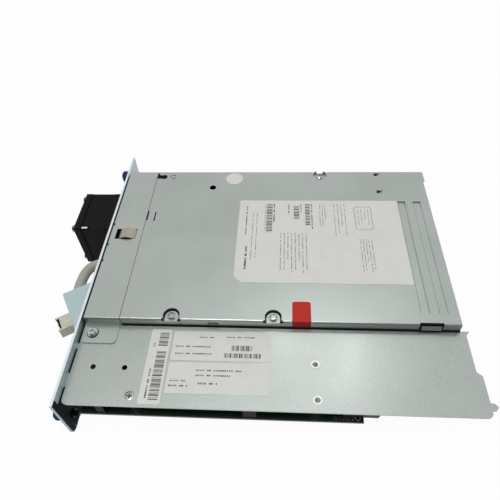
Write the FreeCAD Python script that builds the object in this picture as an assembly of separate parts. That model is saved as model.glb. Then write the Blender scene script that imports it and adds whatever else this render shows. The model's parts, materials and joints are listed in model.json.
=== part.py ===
import FreeCAD, Part

import math
import os

from FreeCAD import Placement, Rotation, Vector

# Half-height data tape drive on the sheet-metal sled that carries it in a tape library.
# Frame: origin at the centre of the drive's bottom face, +X towards the cartridge mouth,
# +Y away from the board side of the sled, +Z up. All values are in millimetres.

# ---- drive body -------------------------------------------------------------------------
DRIVE_LENGTH = 215.0
DRIVE_WIDTH = 146.05
DRIVE_HEIGHT = 41.4
COVER_SHEET = 0.8
COVER_SKIRT = 11.0
COVER_BEND = 1.2
CHASSIS_WALL = 2.4
CHASSIS_FLOOR = 1.8
SKIRT_GAP = 0.2
SCREW_TAP_R = 1.25
SCREW_HOLE_R = 1.6
SCREW_HEAD_R = 2.7
SCREW_HEAD_HEIGHT = 1.5
SCREW_CROWN_R = 1.7
RECESS_ARM = 1.7
RECESS_WIDTH = 0.8
RECESS_DEPTH = 0.85
COVER_SCREW_LENGTH = 6.0
SIDE_SCREW_LENGTH = 3.2
PANEL_SCREW_LENGTH = 3.6
BOTTOM_SCREW_SPACING_X = 79.25
BOTTOM_SCREW_SPACING_Y = 139.7
BOTTOM_BOSS_R = 3.2
BOTTOM_BOSS_HEIGHT = 6.5
SIDE_SCREW_HEIGHT = 10.0
FLOOR_SLOT_LENGTH = 22.0
FLOOR_SLOT_WIDTH = 2.4
FLOOR_SLOT_PITCH = 7.0
FLOOR_SLOT_COUNT = 4

# ---- top cover pressings (distances from the seam and from the near edge) ------------------
GROOVE_NEAR = 8.3
GROOVE_FAR = 110.5
GROOVE_1_FROM_NOSE = 20.7
GROOVE_2_FROM_NOSE = 9.3
GROOVE_WIDTH = 6.0
GROOVE_DEPTH = 0.9
GROOVE_SLOPE = 0.7
SCREW_POCKET_R = 5.4
SCREW_POCKET_DEPTH = 1.9
SCREW_POCKET_1 = 33.3
SCREW_POCKET_2 = 98.9
SCREW_POCKET_FAR = 133.9
SCREW_POCKET_INSET = 3.6
SCREW_POCKET_FAR_INSET = 4.8
SCREW_LUG_HEIGHT = 12.0
POCKET_RING_R = 4.4
POCKET_SHOULDER = 6.3
POCKET_FAR_SLOT = 1.2
HOOK_SLIT_LENGTH = 10.0
HOOK_SLIT_WIDTH = 1.0
HOOK_SLIT_FROM_NEAR = 87.8
HOOK_SLIT_FROM_SEAM = 5.6
KEYHOLE_R = 2.6
KEYHOLE_NECK = 2.1
KEYHOLE_FROM_SEAM = 5.6
KEYHOLE_FROM_NEAR = 139.2
KEYHOLE_WEDGE = 3.4
DIMPLE_FROM_SEAM = 13.2
DIMPLE_R = 2.6
DIMPLE_BUTTON_R = 1.7
DIMPLE_DEPTH = 0.5
ACCESS_HOLE_R = 2.6
ACCESS_HOLE_FROM_SEAM = 47.6
ACCESS_HOLE_FROM_NEAR = 126.2
LANCE_LENGTH = 5.0
LANCE_WIDTH = 3.2
LANCE_DROP = 2.4
LANCE_FROM_SEAM = 177.2
LANCE_1_FROM_NEAR = 119.8
LANCE_2_FROM_NEAR = 140.3
SKIRT_SLOT_HEIGHT = 2.2
SKIRT_SLOT_DROP = 2.4
SKIRT_SLOT_1 = 57.0
SKIRT_SLOT_1_LENGTH = 7.0
SKIRT_SLOT_2 = 190.0
SKIRT_SLOT_2_LENGTH = 13.8
SKIRT_HOOK_INSET = 1.5
SKIRT_HOOK_GAP = 0.3
EDGE_NOTCH = 110.0
EDGE_NOTCH_LENGTH = 13.6
EDGE_NOTCH_DEPTH = 0.9
LIP_REACH = 1.2
LIP_FROM_NEAR = 134.0

# ---- cartridge mouth, door and carrier ---------------------------------------------------
MOUTH_WIDTH = 107.0
MOUTH_HEIGHT = 23.0
MOUTH_FLOOR = 10.2
FRAME_DEPTH = 12.0
FRAME_FLARE = 1.5
FRAME_SIDE_GAP = 0.1
MOUTH_DEPTH = 3.0
FRAME_TOP_FLARE = 0.9
DOOR_SHEET = 1.5
DOOR_GAP = 0.5
DOOR_SIDE_GAP = 1.2
DOOR_PIN_R = 1.2
DOOR_PIN_LENGTH = 3.0
DOOR_SETBACK = 8.0
PIN_PLAY = 0.06
CARRIER_SHEET = 1.2
CARRIER_LENGTH = 79.0
CARRIER_WIDTH = 108.0
CARRIER_WALL_HEIGHT = 22.6
CARRIER_TRAVEL = 14.0
CARRIER_WINDOW = (16.0, 9.0)
CARRIER_WINDOW_ALONG = (0.2, 0.47, 0.74)
CARRIER_WINDOW_ACROSS = 0.6
CARRIER_STOP_WIDTH = 30.0
CARRIER_STOP_DROP = 2.0
CARRIER_REAR = -3.0
RAIL_GAP = 0.3
RAIL_HALF_WIDTH = 2.0
RAIL_INSET = 4.0

# ---- loader gear train (module 1, 20 degree teeth) -----------------------------------------
GEAR_MODULE = 1.0
ADDENDUM = 0.9
DEDENDUM = 1.2
FLANK_STEPS = 3
PRESSURE_ANGLE = math.radians(20.0)
PINION_TEETH = 12
MOTOR_TEETH = 10
TOOTH_BACKLASH = 0.24
GEAR_FACE = 4.0
RACK_LOW = 13.0
PINION_STEP = 8.0
GEAR_BORE_R = 1.5
GEAR_LIFT = 0.3
GEAR_X = 40.0
LOADER_MOTOR_R = 5.2
LOADER_MOTOR_BEVEL = 1.0
LOADER_NOSE_R = 2.4
LOADER_NOSE_HEIGHT = 1.6
LOADER_SHAFT_R = 1.0

# ---- tape path -------------------------------------------------------------------------------
REEL_X = -58.0
REEL_FLANGE_R = 43.0
REEL_HUB_R = 22.0
REEL_FLANGE = 1.2
REEL_GAP_HEIGHT = 13.2
REEL_LOW = 14.0
REEL_WINDOW_R = 5.0
REEL_WINDOWS = 4
SPINDLE_R = 3.0
STATOR_R = 24.0
STATOR_HEIGHT = 6.0
STATOR_TEETH = 9
STATOR_BASE = 0.8
STATOR_TOOTH_WIDTH = 4.0
STATOR_SHOE = 2.5
STATOR_TUBE = 2.0
ROTOR_WALL = 3.0
ROTOR_GAP = 0.6
HUB_X = 44.0
CLUTCH_R = 21.0
CLUTCH_SHEET = 1.6
CLUTCH_LOW = 6.2
CLUTCH_TOOTH_RING_R = 7.2
CLUTCH_TOOTH_HEIGHT = 2.2
CLUTCH_TEETH = 12
CLUTCH_RING_WALL = 2.4
CLUTCH_GAP_WIDTH = 1.6
CLUTCH_GAP_DEPTH = 1.0
CLUTCH_CARRIER_GAP = 1.6
ROLLER_R = 4.6
ROLLER_FLANGE_R = 5.8
ROLLER_HEIGHT = 14.0
ROLLER_PIN_R = 1.5
ROLLER_PLAY = 0.05
ROLLER_FLANGE = 0.8
ROLLER_FOOT_WALL = 1.5
ROLLER_PIN_OVER = 2.0
ROLLER_LOW = 13.4
ROLLER_STATIONS = ((-11.0, 23.025), (-15.5, 10.025), (-46.5, 9.525), (-72.0, 11.025))
HEAD_STATION = (-28.5, 13.025)
HEAD_ROD_INSET = 2.0
HEAD_ROD_SETBACK = 4.5
HEAD_LENGTH = 9.0
HEAD_DEPTH = 7.0
HEAD_HEIGHT = 15.0
HEAD_STROKE = 2.0
HEAD_BASE = (2.0, 0.5, 8.0, 6.0)
HEAD_CROWN_SHARE = 0.42
HEAD_CROWN_INSET = 1.2
HEAD_ROD_R = 1.2
MAIN_BOARD_MARGIN = 5.0
MAIN_BOARD_NEAR = 28.4
MAIN_BOARD_LIFT = 3.0
MAIN_BOARD_FOOT_R = 2.5
MAIN_CHIP_HEIGHT = 1.6
MAIN_CHIPS = ((0.118, 0.840, 14.0), (0.352, 0.877, 20.0), (0.734, 0.858, 16.0), (0.841, 0.586, 10.0))

# ---- sled: side plate, rear panel, rear cover ------------------------------------------------
COMPARTMENT_DEPTH = 25.35
PANEL_SHEET = 1.6
PANEL_NEAR_REACH = 59.575
PANEL_FAR_REACH = 19.875
PANEL_LOW = 0.1
PANEL_DROP = 0.45
INSULATOR_SHEET = 0.4
INSULATOR_MARGIN = 0.5
PANEL_CORNER = 4.0
PANEL_GAP = 1.6
INDEX_HOLE_R = 1.2
INDEX_HOLE_INSET = (4.6, 3.0)
PLATE_SHEET = 1.0
PLATE_DROP = 6.84
PLATE_WIDTH = 55.1
PLATE_REAR_GAP = 1.25
PLATE_FRONT = 110.9
PLATE_STEP = 3.0
PLATE_STEP_FROM_DRIVE = 29.0
PLATE_CORNER = 3.4
TONGUE_REACH = 4.0
TONGUE_WIDTH = 4.4
TONGUE_FROM_DRIVE = 48.6
PLATE_TAB_1 = (14.7, 18.4)
PLATE_TAB_2 = (35.2, 44.1)
FLANGE_LOW = 2.0
FLANGE_FRONT = 96.0
DOCK_HOLE_R = 1.7
DOCK_HOLE_1 = -10.9
DOCK_HOLE_2 = 8.8
DOCK_HOLE_FROM_DRIVE = 30.7
COVER_TAB_WIDTH = 14.5
COVER_TAB_FRONT = 0.9
COVER_TAB_CORNER = 2.5
SEAM_GAP = 0.35
REAR_NOTCHES = (83.2, 62.7, 47.7)
REAR_NOTCH_WIDTH = 2.0
REAR_NOTCH_DEPTH = 0.9
TAB_SCREW_SETBACK = 17.2
TAB_FLANGE_R = 3.3
TAB_FLANGE_HEIGHT = 0.6
TAB_HEX_R = 2.6
TAB_HEAD_HEIGHT = 2.3
CLIP_WINDOW_LENGTH = 15.7
CLIP_WINDOW_REAR = 3.75
CLIP_WINDOW_NEAR = 69.4
CLIP_WINDOW_WIDTH = 10.1
CLIP_SHEET = 0.35
CLIP_RISE = 1.5
CLIP_SIDE_GAP = 0.3
TRAY_SHEET = 1.0
TRAY_LIP = 9.0

# ---- interface board under the side plate ---------------------------------------------------
BOARD_SHEET = 1.6
TOP_CHIPS = ((0.12, 14, 14, 1.6), (0.30, 20, 20, 2.0), (0.48, 10, 14, 1.4), (0.62, 18, 12, 1.6))
UNDER_CHIPS = ((0.20, 16, 16, 1.8), (0.42, 24, 24, 2.4), (0.66, 12, 18, 1.5), (0.88, 10, 10, 1.4))
BOARD_DROP = 19.1
BOARD_REAR = -123.5
BOARD_FRONT = 44.8
BOARD_REACH = 54.975
BOARD_FAR_GAP = 2.0
STANDOFF_R = 2.4
STANDOFF_RING_R = 2.75
STANDOFF_RING_HEIGHT = 0.35
STANDOFF_NECK_R = 2.1
STANDOFF_BORE_R = 1.65
STANDOFF_BORE_DEPTH = 7.0
RIVETED_STATIONS = ((17.2, 25.475), (17.8, 47.875))
SCREWED_STATION = (-91.9, 48.575)
PLAIN_STATION = (-91.9, 16.975)
SUNK_HEAD_R = 2.6
SUNK_HEAD_HEIGHT = 0.55
SUNK_RECESS_R = 3.05
SUNK_RECESS_DEPTH = 0.7
BOARD_SCREW_LENGTH = 4.0
CLIP_STRIP = 0.8
CLIP_FOOT = 3.0
CLIP_INSET = 0.5
CLIP_SPANS = ((-112.5, 5.0), (-25.1, 7.8))
DOCK_CONNECTOR_LENGTH = 36.0
DOCK_CONNECTOR_REACH = 11.0
DOCK_CONNECTOR_DEPTH = 12.0
DOCK_CONNECTOR_HEIGHT = 9.5
DOCK_CONNECTOR_INSET = 3.0
DOCK_CONNECTOR_NOSE = 2.5
DOCK_MOUTH_DEPTH = 8.0
DOCK_MOUTH_WALL = (4.0, 2.4)
DOCK_BLADE_WALL = (6.0, 4.2)
DOCK_BLADE_SETBACK = 1.5

# ---- fan, thumbscrews, connector bracket, bridge cable -------------------------------------
FAN_SIZE = 40.0
FAN_DEPTH = 28.0
FAN_Y = 26.9
FAN_LIFT = -0.1
FAN_FLANGE = 5.0
FAN_CORNER_R = 1.5
FAN_LEAD_NOTCH = (6.2, 1.8)
FAN_BODY_INSET = 0.6
FAN_BORE_R = 18.6
FAN_HOLE_SPACING = 32.0
FAN_SCREW_R = 1.5
FAN_HUB_R = 10.5
FAN_HUB_LENGTH = 19.0
FAN_HUB_WALL = 1.6
FAN_HUB_BEVEL = 1.2
FAN_CUP_DEPTH = 4.5
FAN_STRUT_WIDTH = 2.4
FAN_BLADE_GAP = 0.8
FAN_BLADES = 7
FAN_BLADE_CHORD = 17.5
FAN_BLADE_CAMBER = ((-1, 0), (-0.5, 1.4), (0.2, 1.6), (1, 0), (0.2, 0.6), (-0.5, 0.4))
FAN_BLADE_ROWS = ((FAN_HUB_R - 2.0, 22.0, 1.3), (FAN_BORE_R - 4.0, 36.0, 1.1), (FAN_BORE_R + 1.0, 46.0, 0.9))
FAN_GUARD_WIRE_R = 0.6
FAN_GUARD_SIDES = 4
FAN_GUARD_EYE_R = 2.8
FAN_GUARD_RINGS = (5.5, 11.0, 16.5)
FAN_SHAFT_R = 1.5
FAN_SHAFT_LENGTH = 5.5
FAN_STRUT_DEPTH = 3.0
FAN_HUB_GAP = 0.4
FAN_BORE_DEPTH = 6.0
FAN_STRUTS = 4
KNOB_R = 4.8
KNOB_LENGTH = 7.0
KNOB_FLUTES = 12
KNOB_FLUTE_DEPTH = 0.45
KNOB_CAP = 0.8
KNOB_TRAVEL = 3.0
KNOB_FAR_STATION = (11.475, 26.4)
KNOB_NEAR_STATION = (50.275, 10.0)
SHANK_R = 1.75
SHANK_GROOVE = 0.45
SHANK_TAIL = 4.0
SHANK_ROOT = 2.5
KNOB_WELL = 2.0
RETAINER_REACH = 1.4
RETAINER_SLIT = 0.9
FERRULE_R = 3.0
FERRULE_LENGTH = 1.4
RETAINER_SHEET = 0.6
BRACKET_SHEET = 1.2
BRACKET_CORNER = (-155.0, -49.6)
BRACKET_TURN = -58.5
BRACKET_DROP = 6.9
BRACKET_WALL_HEIGHT = 14.0
BRACKET_NOSE_R = 1.2
BRACKET_WALL_INSET = 3.0
BRACKET_WALL_DROP = 0.2
PORT_START = 16.8
PORT_WIDTH = 11.0
PORT_HEIGHT = 8.6
PORT_DROP = 0.9
PORT_TOP_REACH = 7.4
PORT_REACH = 9.7
PORT_SHELL = 0.6
PORT_BORE = 3.9
PORT_BORE_DEPTH = 6.0
BOOT_LENGTH = 7.0
BOOT_DEPTH = 7.6
CABLE_R = 3.7
CABLE_ROUTE = (
    (-121.0, -16.2, 27.6),
    (-137.5, -16.2, 27.6),
    (-144.4, -19.2, 27.6),
    (-147.6, -25.8, 27.6),
    (-148.4, -35.0, 27.6),
    (-147.9, -44.5, 27.6),
    (-145.6, -53.0, 27.6),
    (-142.36, -58.29, 27.6),
)
PLUG_SIZE = 11.0
GROMMET_LIP = 1.2
GROMMET_WALL = 1.0

# ---- values that follow from the ones above ---------------------------------------------------
SEAM_X = -DRIVE_LENGTH / 2
NOSE_X = DRIVE_LENGTH / 2
NEAR_Y = -DRIVE_WIDTH / 2
FAR_Y = DRIVE_WIDTH / 2
INNER_Y = FAR_Y - CHASSIS_WALL
ROOF_Z = DRIVE_HEIGHT - COVER_SHEET
PANEL_X = SEAM_X - COMPARTMENT_DEPTH
PANEL_BACK = PANEL_X - PANEL_SHEET
PANEL_NEAR = NEAR_Y - PANEL_NEAR_REACH
PANEL_FAR = FAR_Y + PANEL_FAR_REACH
PANEL_HIGH = DRIVE_HEIGHT - PANEL_DROP
PLATE_TOP = DRIVE_HEIGHT - PLATE_DROP
BOARD_TOP = DRIVE_HEIGHT - BOARD_DROP
BOARD_NEAR = NEAR_Y - BOARD_REACH
BRACKET_TOP = DRIVE_HEIGHT - BRACKET_DROP
FAN_Z = DRIVE_HEIGHT / 2 + FAN_LIFT
KNOB_FAR = (FAR_Y + KNOB_FAR_STATION[0], KNOB_FAR_STATION[1])
KNOB_NEAR = (NEAR_Y - KNOB_NEAR_STATION[0], KNOB_NEAR_STATION[1])
ROLLER_PLACES = [(x, NEAR_Y + inset) for x, inset in ROLLER_STATIONS]
HEAD_PLACE = (HEAD_STATION[0], NEAR_Y + HEAD_STATION[1])
RIVETED_PLACES = [(x, NEAR_Y - reach) for x, reach in RIVETED_STATIONS]
SCREWED_PLACE = (SCREWED_STATION[0], NEAR_Y - SCREWED_STATION[1])
PLAIN_PLACE = (PLAIN_STATION[0], NEAR_Y - PLAIN_STATION[1])
STANDOFF_PLACES = [*RIVETED_PLACES, SCREWED_PLACE, PLAIN_PLACE]
PLATE_LOW = PLATE_TOP - PLATE_SHEET
PLATE_NEAR = NEAR_Y - PLATE_WIDTH
MOUTH_TOP = MOUTH_FLOOR + MOUTH_HEIGHT
CARRIER_LOW = MOUTH_FLOOR - CARRIER_SHEET
PINION_PITCH_R = GEAR_MODULE * PINION_TEETH / 2
MOTOR_PITCH_R = GEAR_MODULE * MOTOR_TEETH / 2
RACK_PITCH_Y = CARRIER_WIDTH / 2 + 1.25 * GEAR_MODULE
GEAR_Y = RACK_PITCH_Y + PINION_PITCH_R
BRACKET_ALONG = Vector(math.cos(math.radians(BRACKET_TURN)), math.sin(math.radians(BRACKET_TURN)), 0)
BRACKET_INWARD = Vector(-BRACKET_ALONG.y, BRACKET_ALONG.x, 0)


def box(x_span, y_span, z_span):
    """Box between two limits on each axis."""
    size = [high - low for low, high in (x_span, y_span, z_span)]
    return Part.makeBox(*size, Vector(x_span[0], y_span[0], z_span[0]))


def rod(radius, base, length, axis=Vector(0, 0, 1)):
    """Cylinder from its base point along an axis."""
    return Part.makeCylinder(radius, length, base, axis)


def outline(points):
    """Closed flat wire through points."""
    return Part.makePolygon([Vector(*point) for point in points] + [Vector(*points[0])])


def prism(points, direction):
    """Solid swept from a flat outline along a straight direction."""
    return Part.Face(outline(points)).extrude(direction)


def plate(points, low, high):
    """Flat plate from an outline in X and Y, between two heights."""
    return prism([(x, y, low) for x, y in points], Vector(0, 0, high - low))


def along_x(points, x_low, x_high):
    """Bar with a section in Y and Z, between two X values."""
    return prism([(x_low, y, z) for y, z in points], Vector(x_high - x_low, 0, 0))


def along_y(points, y_low, y_high):
    """Bar with a section in X and Z, between two Y values."""
    return prism([(x, y_low, z) for x, z in points], Vector(0, y_high - y_low, 0))


def fuse(shapes):
    """One clean solid from overlapping or touching shapes."""
    first, rest = shapes[0], list(shapes[1:])
    return first.multiFuse(rest).removeSplitter() if rest else first


def turned(profile):
    """Solid of revolution about Z from a half section of radius and height pairs."""
    section = Part.Face(outline([(radius, 0, height) for radius, height in profile]))
    return section.revolve(Vector(), Vector(0, 0, 1), 360)


def cut(shape, tools):
    """Shape with every tool taken out of it."""
    return shape.cut(Part.makeCompound(tools)).removeSplitter()


def round_edges(shape, radius, chosen):
    """Fillet the edges that a test picks."""
    edges = [edge for edge in shape.Edges if chosen(edge)]
    return shape.makeFillet(radius, edges) if edges else shape


def lengthwise(low_limit=None, near_limit=None):
    """Test that picks the edges along X, above a height or before a Y limit where one is given."""
    def chosen(edge):
        middle = edge.CenterOfMass
        above = low_limit is None or middle.z > low_limit
        before = near_limit is None or middle.y < near_limit
        return is_along(edge, Vector(1, 0, 0)) and above and before
    return chosen


def upright(near_limit):
    """Test that picks the edges along Z before a Y limit."""
    return lambda edge: is_along(edge, Vector(0, 0, 1)) and edge.CenterOfMass.y < near_limit


def under(high_limit, near_limit):
    """Test that picks the edges along X below a height and before a Y limit."""
    return lambda edge: lengthwise(None, near_limit)(edge) and edge.CenterOfMass.z < high_limit


def is_along(edge, axis):
    """True for a straight edge that runs along an axis."""
    if len(edge.Vertexes) != 2 or not isinstance(edge.Curve, Part.Line):
        return False
    run = edge.Vertexes[1].Point - edge.Vertexes[0].Point
    return abs(run.normalize().dot(axis)) > 0.999


def stadium(centre, length, width, low, high, angle=0.0):
    """Slot with round ends, standing along Z; its length runs at an angle from X."""
    half = (length - width) / 2
    radius = width / 2
    ends = ((-half, -radius), (half, -radius), (half, radius), (-half, radius))
    corners = [Vector(x, y, 0) for x, y in ends]
    edges = [
        Part.LineSegment(corners[0], corners[1]).toShape(),
        Part.Arc(corners[1], Vector(half + radius, 0, 0), corners[2]).toShape(),
        Part.LineSegment(corners[2], corners[3]).toShape(),
        Part.Arc(corners[3], Vector(-half - radius, 0, 0), corners[0]).toShape(),
    ]
    solid = Part.Face(Part.Wire(edges)).extrude(Vector(0, 0, high - low))
    solid.Placement = Placement(Vector(centre[0], centre[1], low), Rotation(Vector(0, 0, 1), angle))
    return solid


def placed(shape, position, axis=Vector(0, 0, 1), angle=0.0):
    """Copy of a shape, turned about an axis through the origin and then moved."""
    moved = shape.copy()
    moved.Placement = Placement(position, Rotation(axis, angle)).multiply(shape.Placement)
    return moved


def ring_of(shape, count, centre, axis=Vector(0, 0, 1)):
    """Equally turned copies of a shape about an axis through a centre."""
    copies = []
    for index in range(count):
        turned = shape.copy()
        turned.rotate(centre, axis, 360.0 * index / count)
        copies.append(turned)
    return copies


def bracket_point(along, inward, height):
    """Point in the turned frame of the connector bracket."""
    corner = Vector(BRACKET_CORNER[0], BRACKET_CORNER[1], height)
    return corner + BRACKET_ALONG * along + BRACKET_INWARD * inward


def bracket_box(along, inward, heights):
    """Box in the turned frame of the connector bracket."""
    solid = box(along, inward, heights)
    frame = Placement(Vector(*BRACKET_CORNER, 0), Rotation(Vector(0, 0, 1), BRACKET_TURN))
    solid.Placement = frame.multiply(solid.Placement)
    return solid


# ---- sheet-metal and cast housings --------------------------------------------------------------
def pocket_places():
    """Centres of the dished screw pockets: two at the near edge, one at the far edge."""
    near = NEAR_Y + SCREW_POCKET_INSET
    far = FAR_Y - SCREW_POCKET_FAR_INSET
    places = ((SCREW_POCKET_1, near), (SCREW_POCKET_2, near), (SCREW_POCKET_FAR, far))
    return [(SEAM_X + along, y) for along, y in places]


def pocket_floor():
    """Height of the top of a pocket's floor."""
    return DRIVE_HEIGHT - SCREW_POCKET_DEPTH


def top_cover():
    """Folded lid with skirts, pressed grooves, dished screw pockets and lanced holes."""
    skirt_low = DRIVE_HEIGHT - COVER_SKIRT
    outer = box((SEAM_X, NOSE_X), (NEAR_Y, FAR_Y), (skirt_low, DRIVE_HEIGHT))
    outer = round_edges(outer, COVER_BEND, lengthwise(ROOF_Z))
    inner_y = FAR_Y - COVER_SHEET
    inner = box((SEAM_X, NOSE_X), (-inner_y, inner_y), (skirt_low, ROOF_Z))
    shell = outer.cut(inner)
    added = []
    removed = []
    for from_nose in (GROOVE_1_FROM_NOSE, GROOVE_2_FROM_NOSE):
        middle = NOSE_X - from_nose
        for solids, extra, drop in ((added, COVER_SHEET, COVER_SHEET), (removed, 0.0, 0.0)):
            half = GROOVE_WIDTH / 2 + extra
            low = DRIVE_HEIGHT - GROOVE_DEPTH - drop
            section = [(middle - half, DRIVE_HEIGHT), (middle - half + GROOVE_SLOPE, low),
                       (middle + half - GROOVE_SLOPE, low), (middle + half, DRIVE_HEIGHT)]
            solids.append(along_y(section, NEAR_Y + GROOVE_NEAR - extra, NEAR_Y + GROOVE_FAR + extra))
    block = box((SEAM_X, NOSE_X), (NEAR_Y, FAR_Y), (0, DRIVE_HEIGHT))
    floor = pocket_floor()
    for x, y in pocket_places():
        base = Vector(x, y, floor - COVER_SHEET)
        dish = rod(SCREW_POCKET_R + COVER_SHEET, base, SCREW_POCKET_DEPTH + COVER_SHEET)
        added.append(dish.common(block))
        removed.append(rod(SCREW_POCKET_R, Vector(x, y, floor), SCREW_POCKET_DEPTH + 1))
        removed.append(rod(SCREW_HOLE_R, Vector(x, y, skirt_low), DRIVE_HEIGHT))
        removed += pocket_slots(x, y)
    roof = (ROOF_Z - GROOVE_DEPTH, DRIVE_HEIGHT + 1)
    slit_y = NEAR_Y + HOOK_SLIT_FROM_NEAR
    slit_x = SEAM_X + HOOK_SLIT_FROM_SEAM
    seam_slit = (slit_y + 1, slit_y + 1 + HOOK_SLIT_LENGTH)
    removed.append(box((slit_x, slit_x + HOOK_SLIT_WIDTH), (slit_y, slit_y + HOOK_SLIT_LENGTH), roof))
    removed.append(box((SEAM_X - 1, SEAM_X + HOOK_SLIT_WIDTH), seam_slit, roof))
    key_x = SEAM_X + KEYHOLE_FROM_SEAM
    key_y = NEAR_Y + KEYHOLE_FROM_NEAR
    removed.append(rod(KEYHOLE_R, Vector(key_x, key_y, roof[0]), roof[1] - roof[0]))
    low, high = key_y - KEYHOLE_NECK, key_y + KEYHOLE_NECK
    top = high + KEYHOLE_WEDGE
    neck = [(SEAM_X - 1, low), (key_x, low), (key_x, high), (SEAM_X + KEYHOLE_NECK, high), (SEAM_X, top),
            (SEAM_X - 1, top)]
    removed.append(plate(neck, *roof))
    dimple = Vector(SEAM_X + DIMPLE_FROM_SEAM, key_y, DRIVE_HEIGHT - DIMPLE_DEPTH)
    button = rod(DIMPLE_BUTTON_R, dimple - Vector(0, 0, 1), DIMPLE_DEPTH + 2)
    removed.append(rod(DIMPLE_R, dimple, DIMPLE_DEPTH + 1).cut(button))
    access = Vector(SEAM_X + ACCESS_HOLE_FROM_SEAM, NEAR_Y + ACCESS_HOLE_FROM_NEAR, roof[0])
    removed.append(rod(ACCESS_HOLE_R, access, roof[1] - roof[0]))
    for from_near in (LANCE_1_FROM_NEAR, LANCE_2_FROM_NEAR):
        start, end = SEAM_X + LANCE_FROM_SEAM, SEAM_X + LANCE_FROM_SEAM + LANCE_LENGTH
        low, high = NEAR_Y + from_near, NEAR_Y + from_near + LANCE_WIDTH
        tip = start + COVER_SHEET
        drop = DRIVE_HEIGHT - LANCE_DROP
        slope = [(end, DRIVE_HEIGHT), (end, ROOF_Z), (tip, drop - COVER_SHEET), (tip, drop)]
        shell = shell.cut(box((start, end), (low, high), roof)).fuse(along_y(slope, low, high))
    skin = (NEAR_Y - 1, NEAR_Y + COVER_SHEET)
    slot_top = DRIVE_HEIGHT - SKIRT_SLOT_DROP
    for start, end in skirt_slot_spans():
        removed.append(box((start, end), skin, (slot_top - SKIRT_SLOT_HEIGHT, slot_top)))
    notch = (SEAM_X + EDGE_NOTCH, SEAM_X + EDGE_NOTCH + EDGE_NOTCH_LENGTH)
    removed.append(box(notch, skin, (DRIVE_HEIGHT - EDGE_NOTCH_DEPTH, DRIVE_HEIGHT + 1)))
    lip_span = (NEAR_Y + LIP_FROM_NEAR, FAR_Y - COVER_BEND)
    lip = box((NOSE_X, NOSE_X + LIP_REACH), lip_span, (ROOF_Z, DRIVE_HEIGHT))
    return cut(fuse([shell, lip] + added), removed)


def skirt_slot_spans():
    """Start and end along X of the slots in the cover's near skirt."""
    slots = ((SKIRT_SLOT_1, SKIRT_SLOT_1_LENGTH), (SKIRT_SLOT_2, SKIRT_SLOT_2_LENGTH))
    return [(SEAM_X + start, SEAM_X + start + length) for start, length in slots]


def pocket_slots(x, y):
    """Slots of a screw pocket: an arc with two shoulders at the near edge, a straight one at the far edge."""
    side = math.copysign(1, y)
    edge = side * FAR_Y
    low, high = pocket_floor() - COVER_SHEET - 1, DRIVE_HEIGHT + 1
    shoulder = sorted((edge - side * POCKET_FAR_SLOT, edge + side))
    slots = []
    for way in (-1, 1):
        span = sorted((x + way * POCKET_RING_R, x + way * POCKET_SHOULDER))
        slots.append(box(span, shoulder, (pocket_floor(), high)))
    if side > 0:
        inner = edge - COVER_SHEET
        span = (x - POCKET_RING_R, x + POCKET_RING_R)
        slots.append(box(span, (inner - POCKET_FAR_SLOT, inner), (low, high)))
        return slots
    disc = rod(POCKET_RING_R, Vector(x, y, low), high - low)
    ring = rod(SCREW_POCKET_R, Vector(x, y, low), high - low).cut(disc)
    half = box((x - SCREW_POCKET_R, x + SCREW_POCKET_R), (y, y + SCREW_POCKET_R), (low, high))
    return slots + [ring.common(half)]


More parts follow.
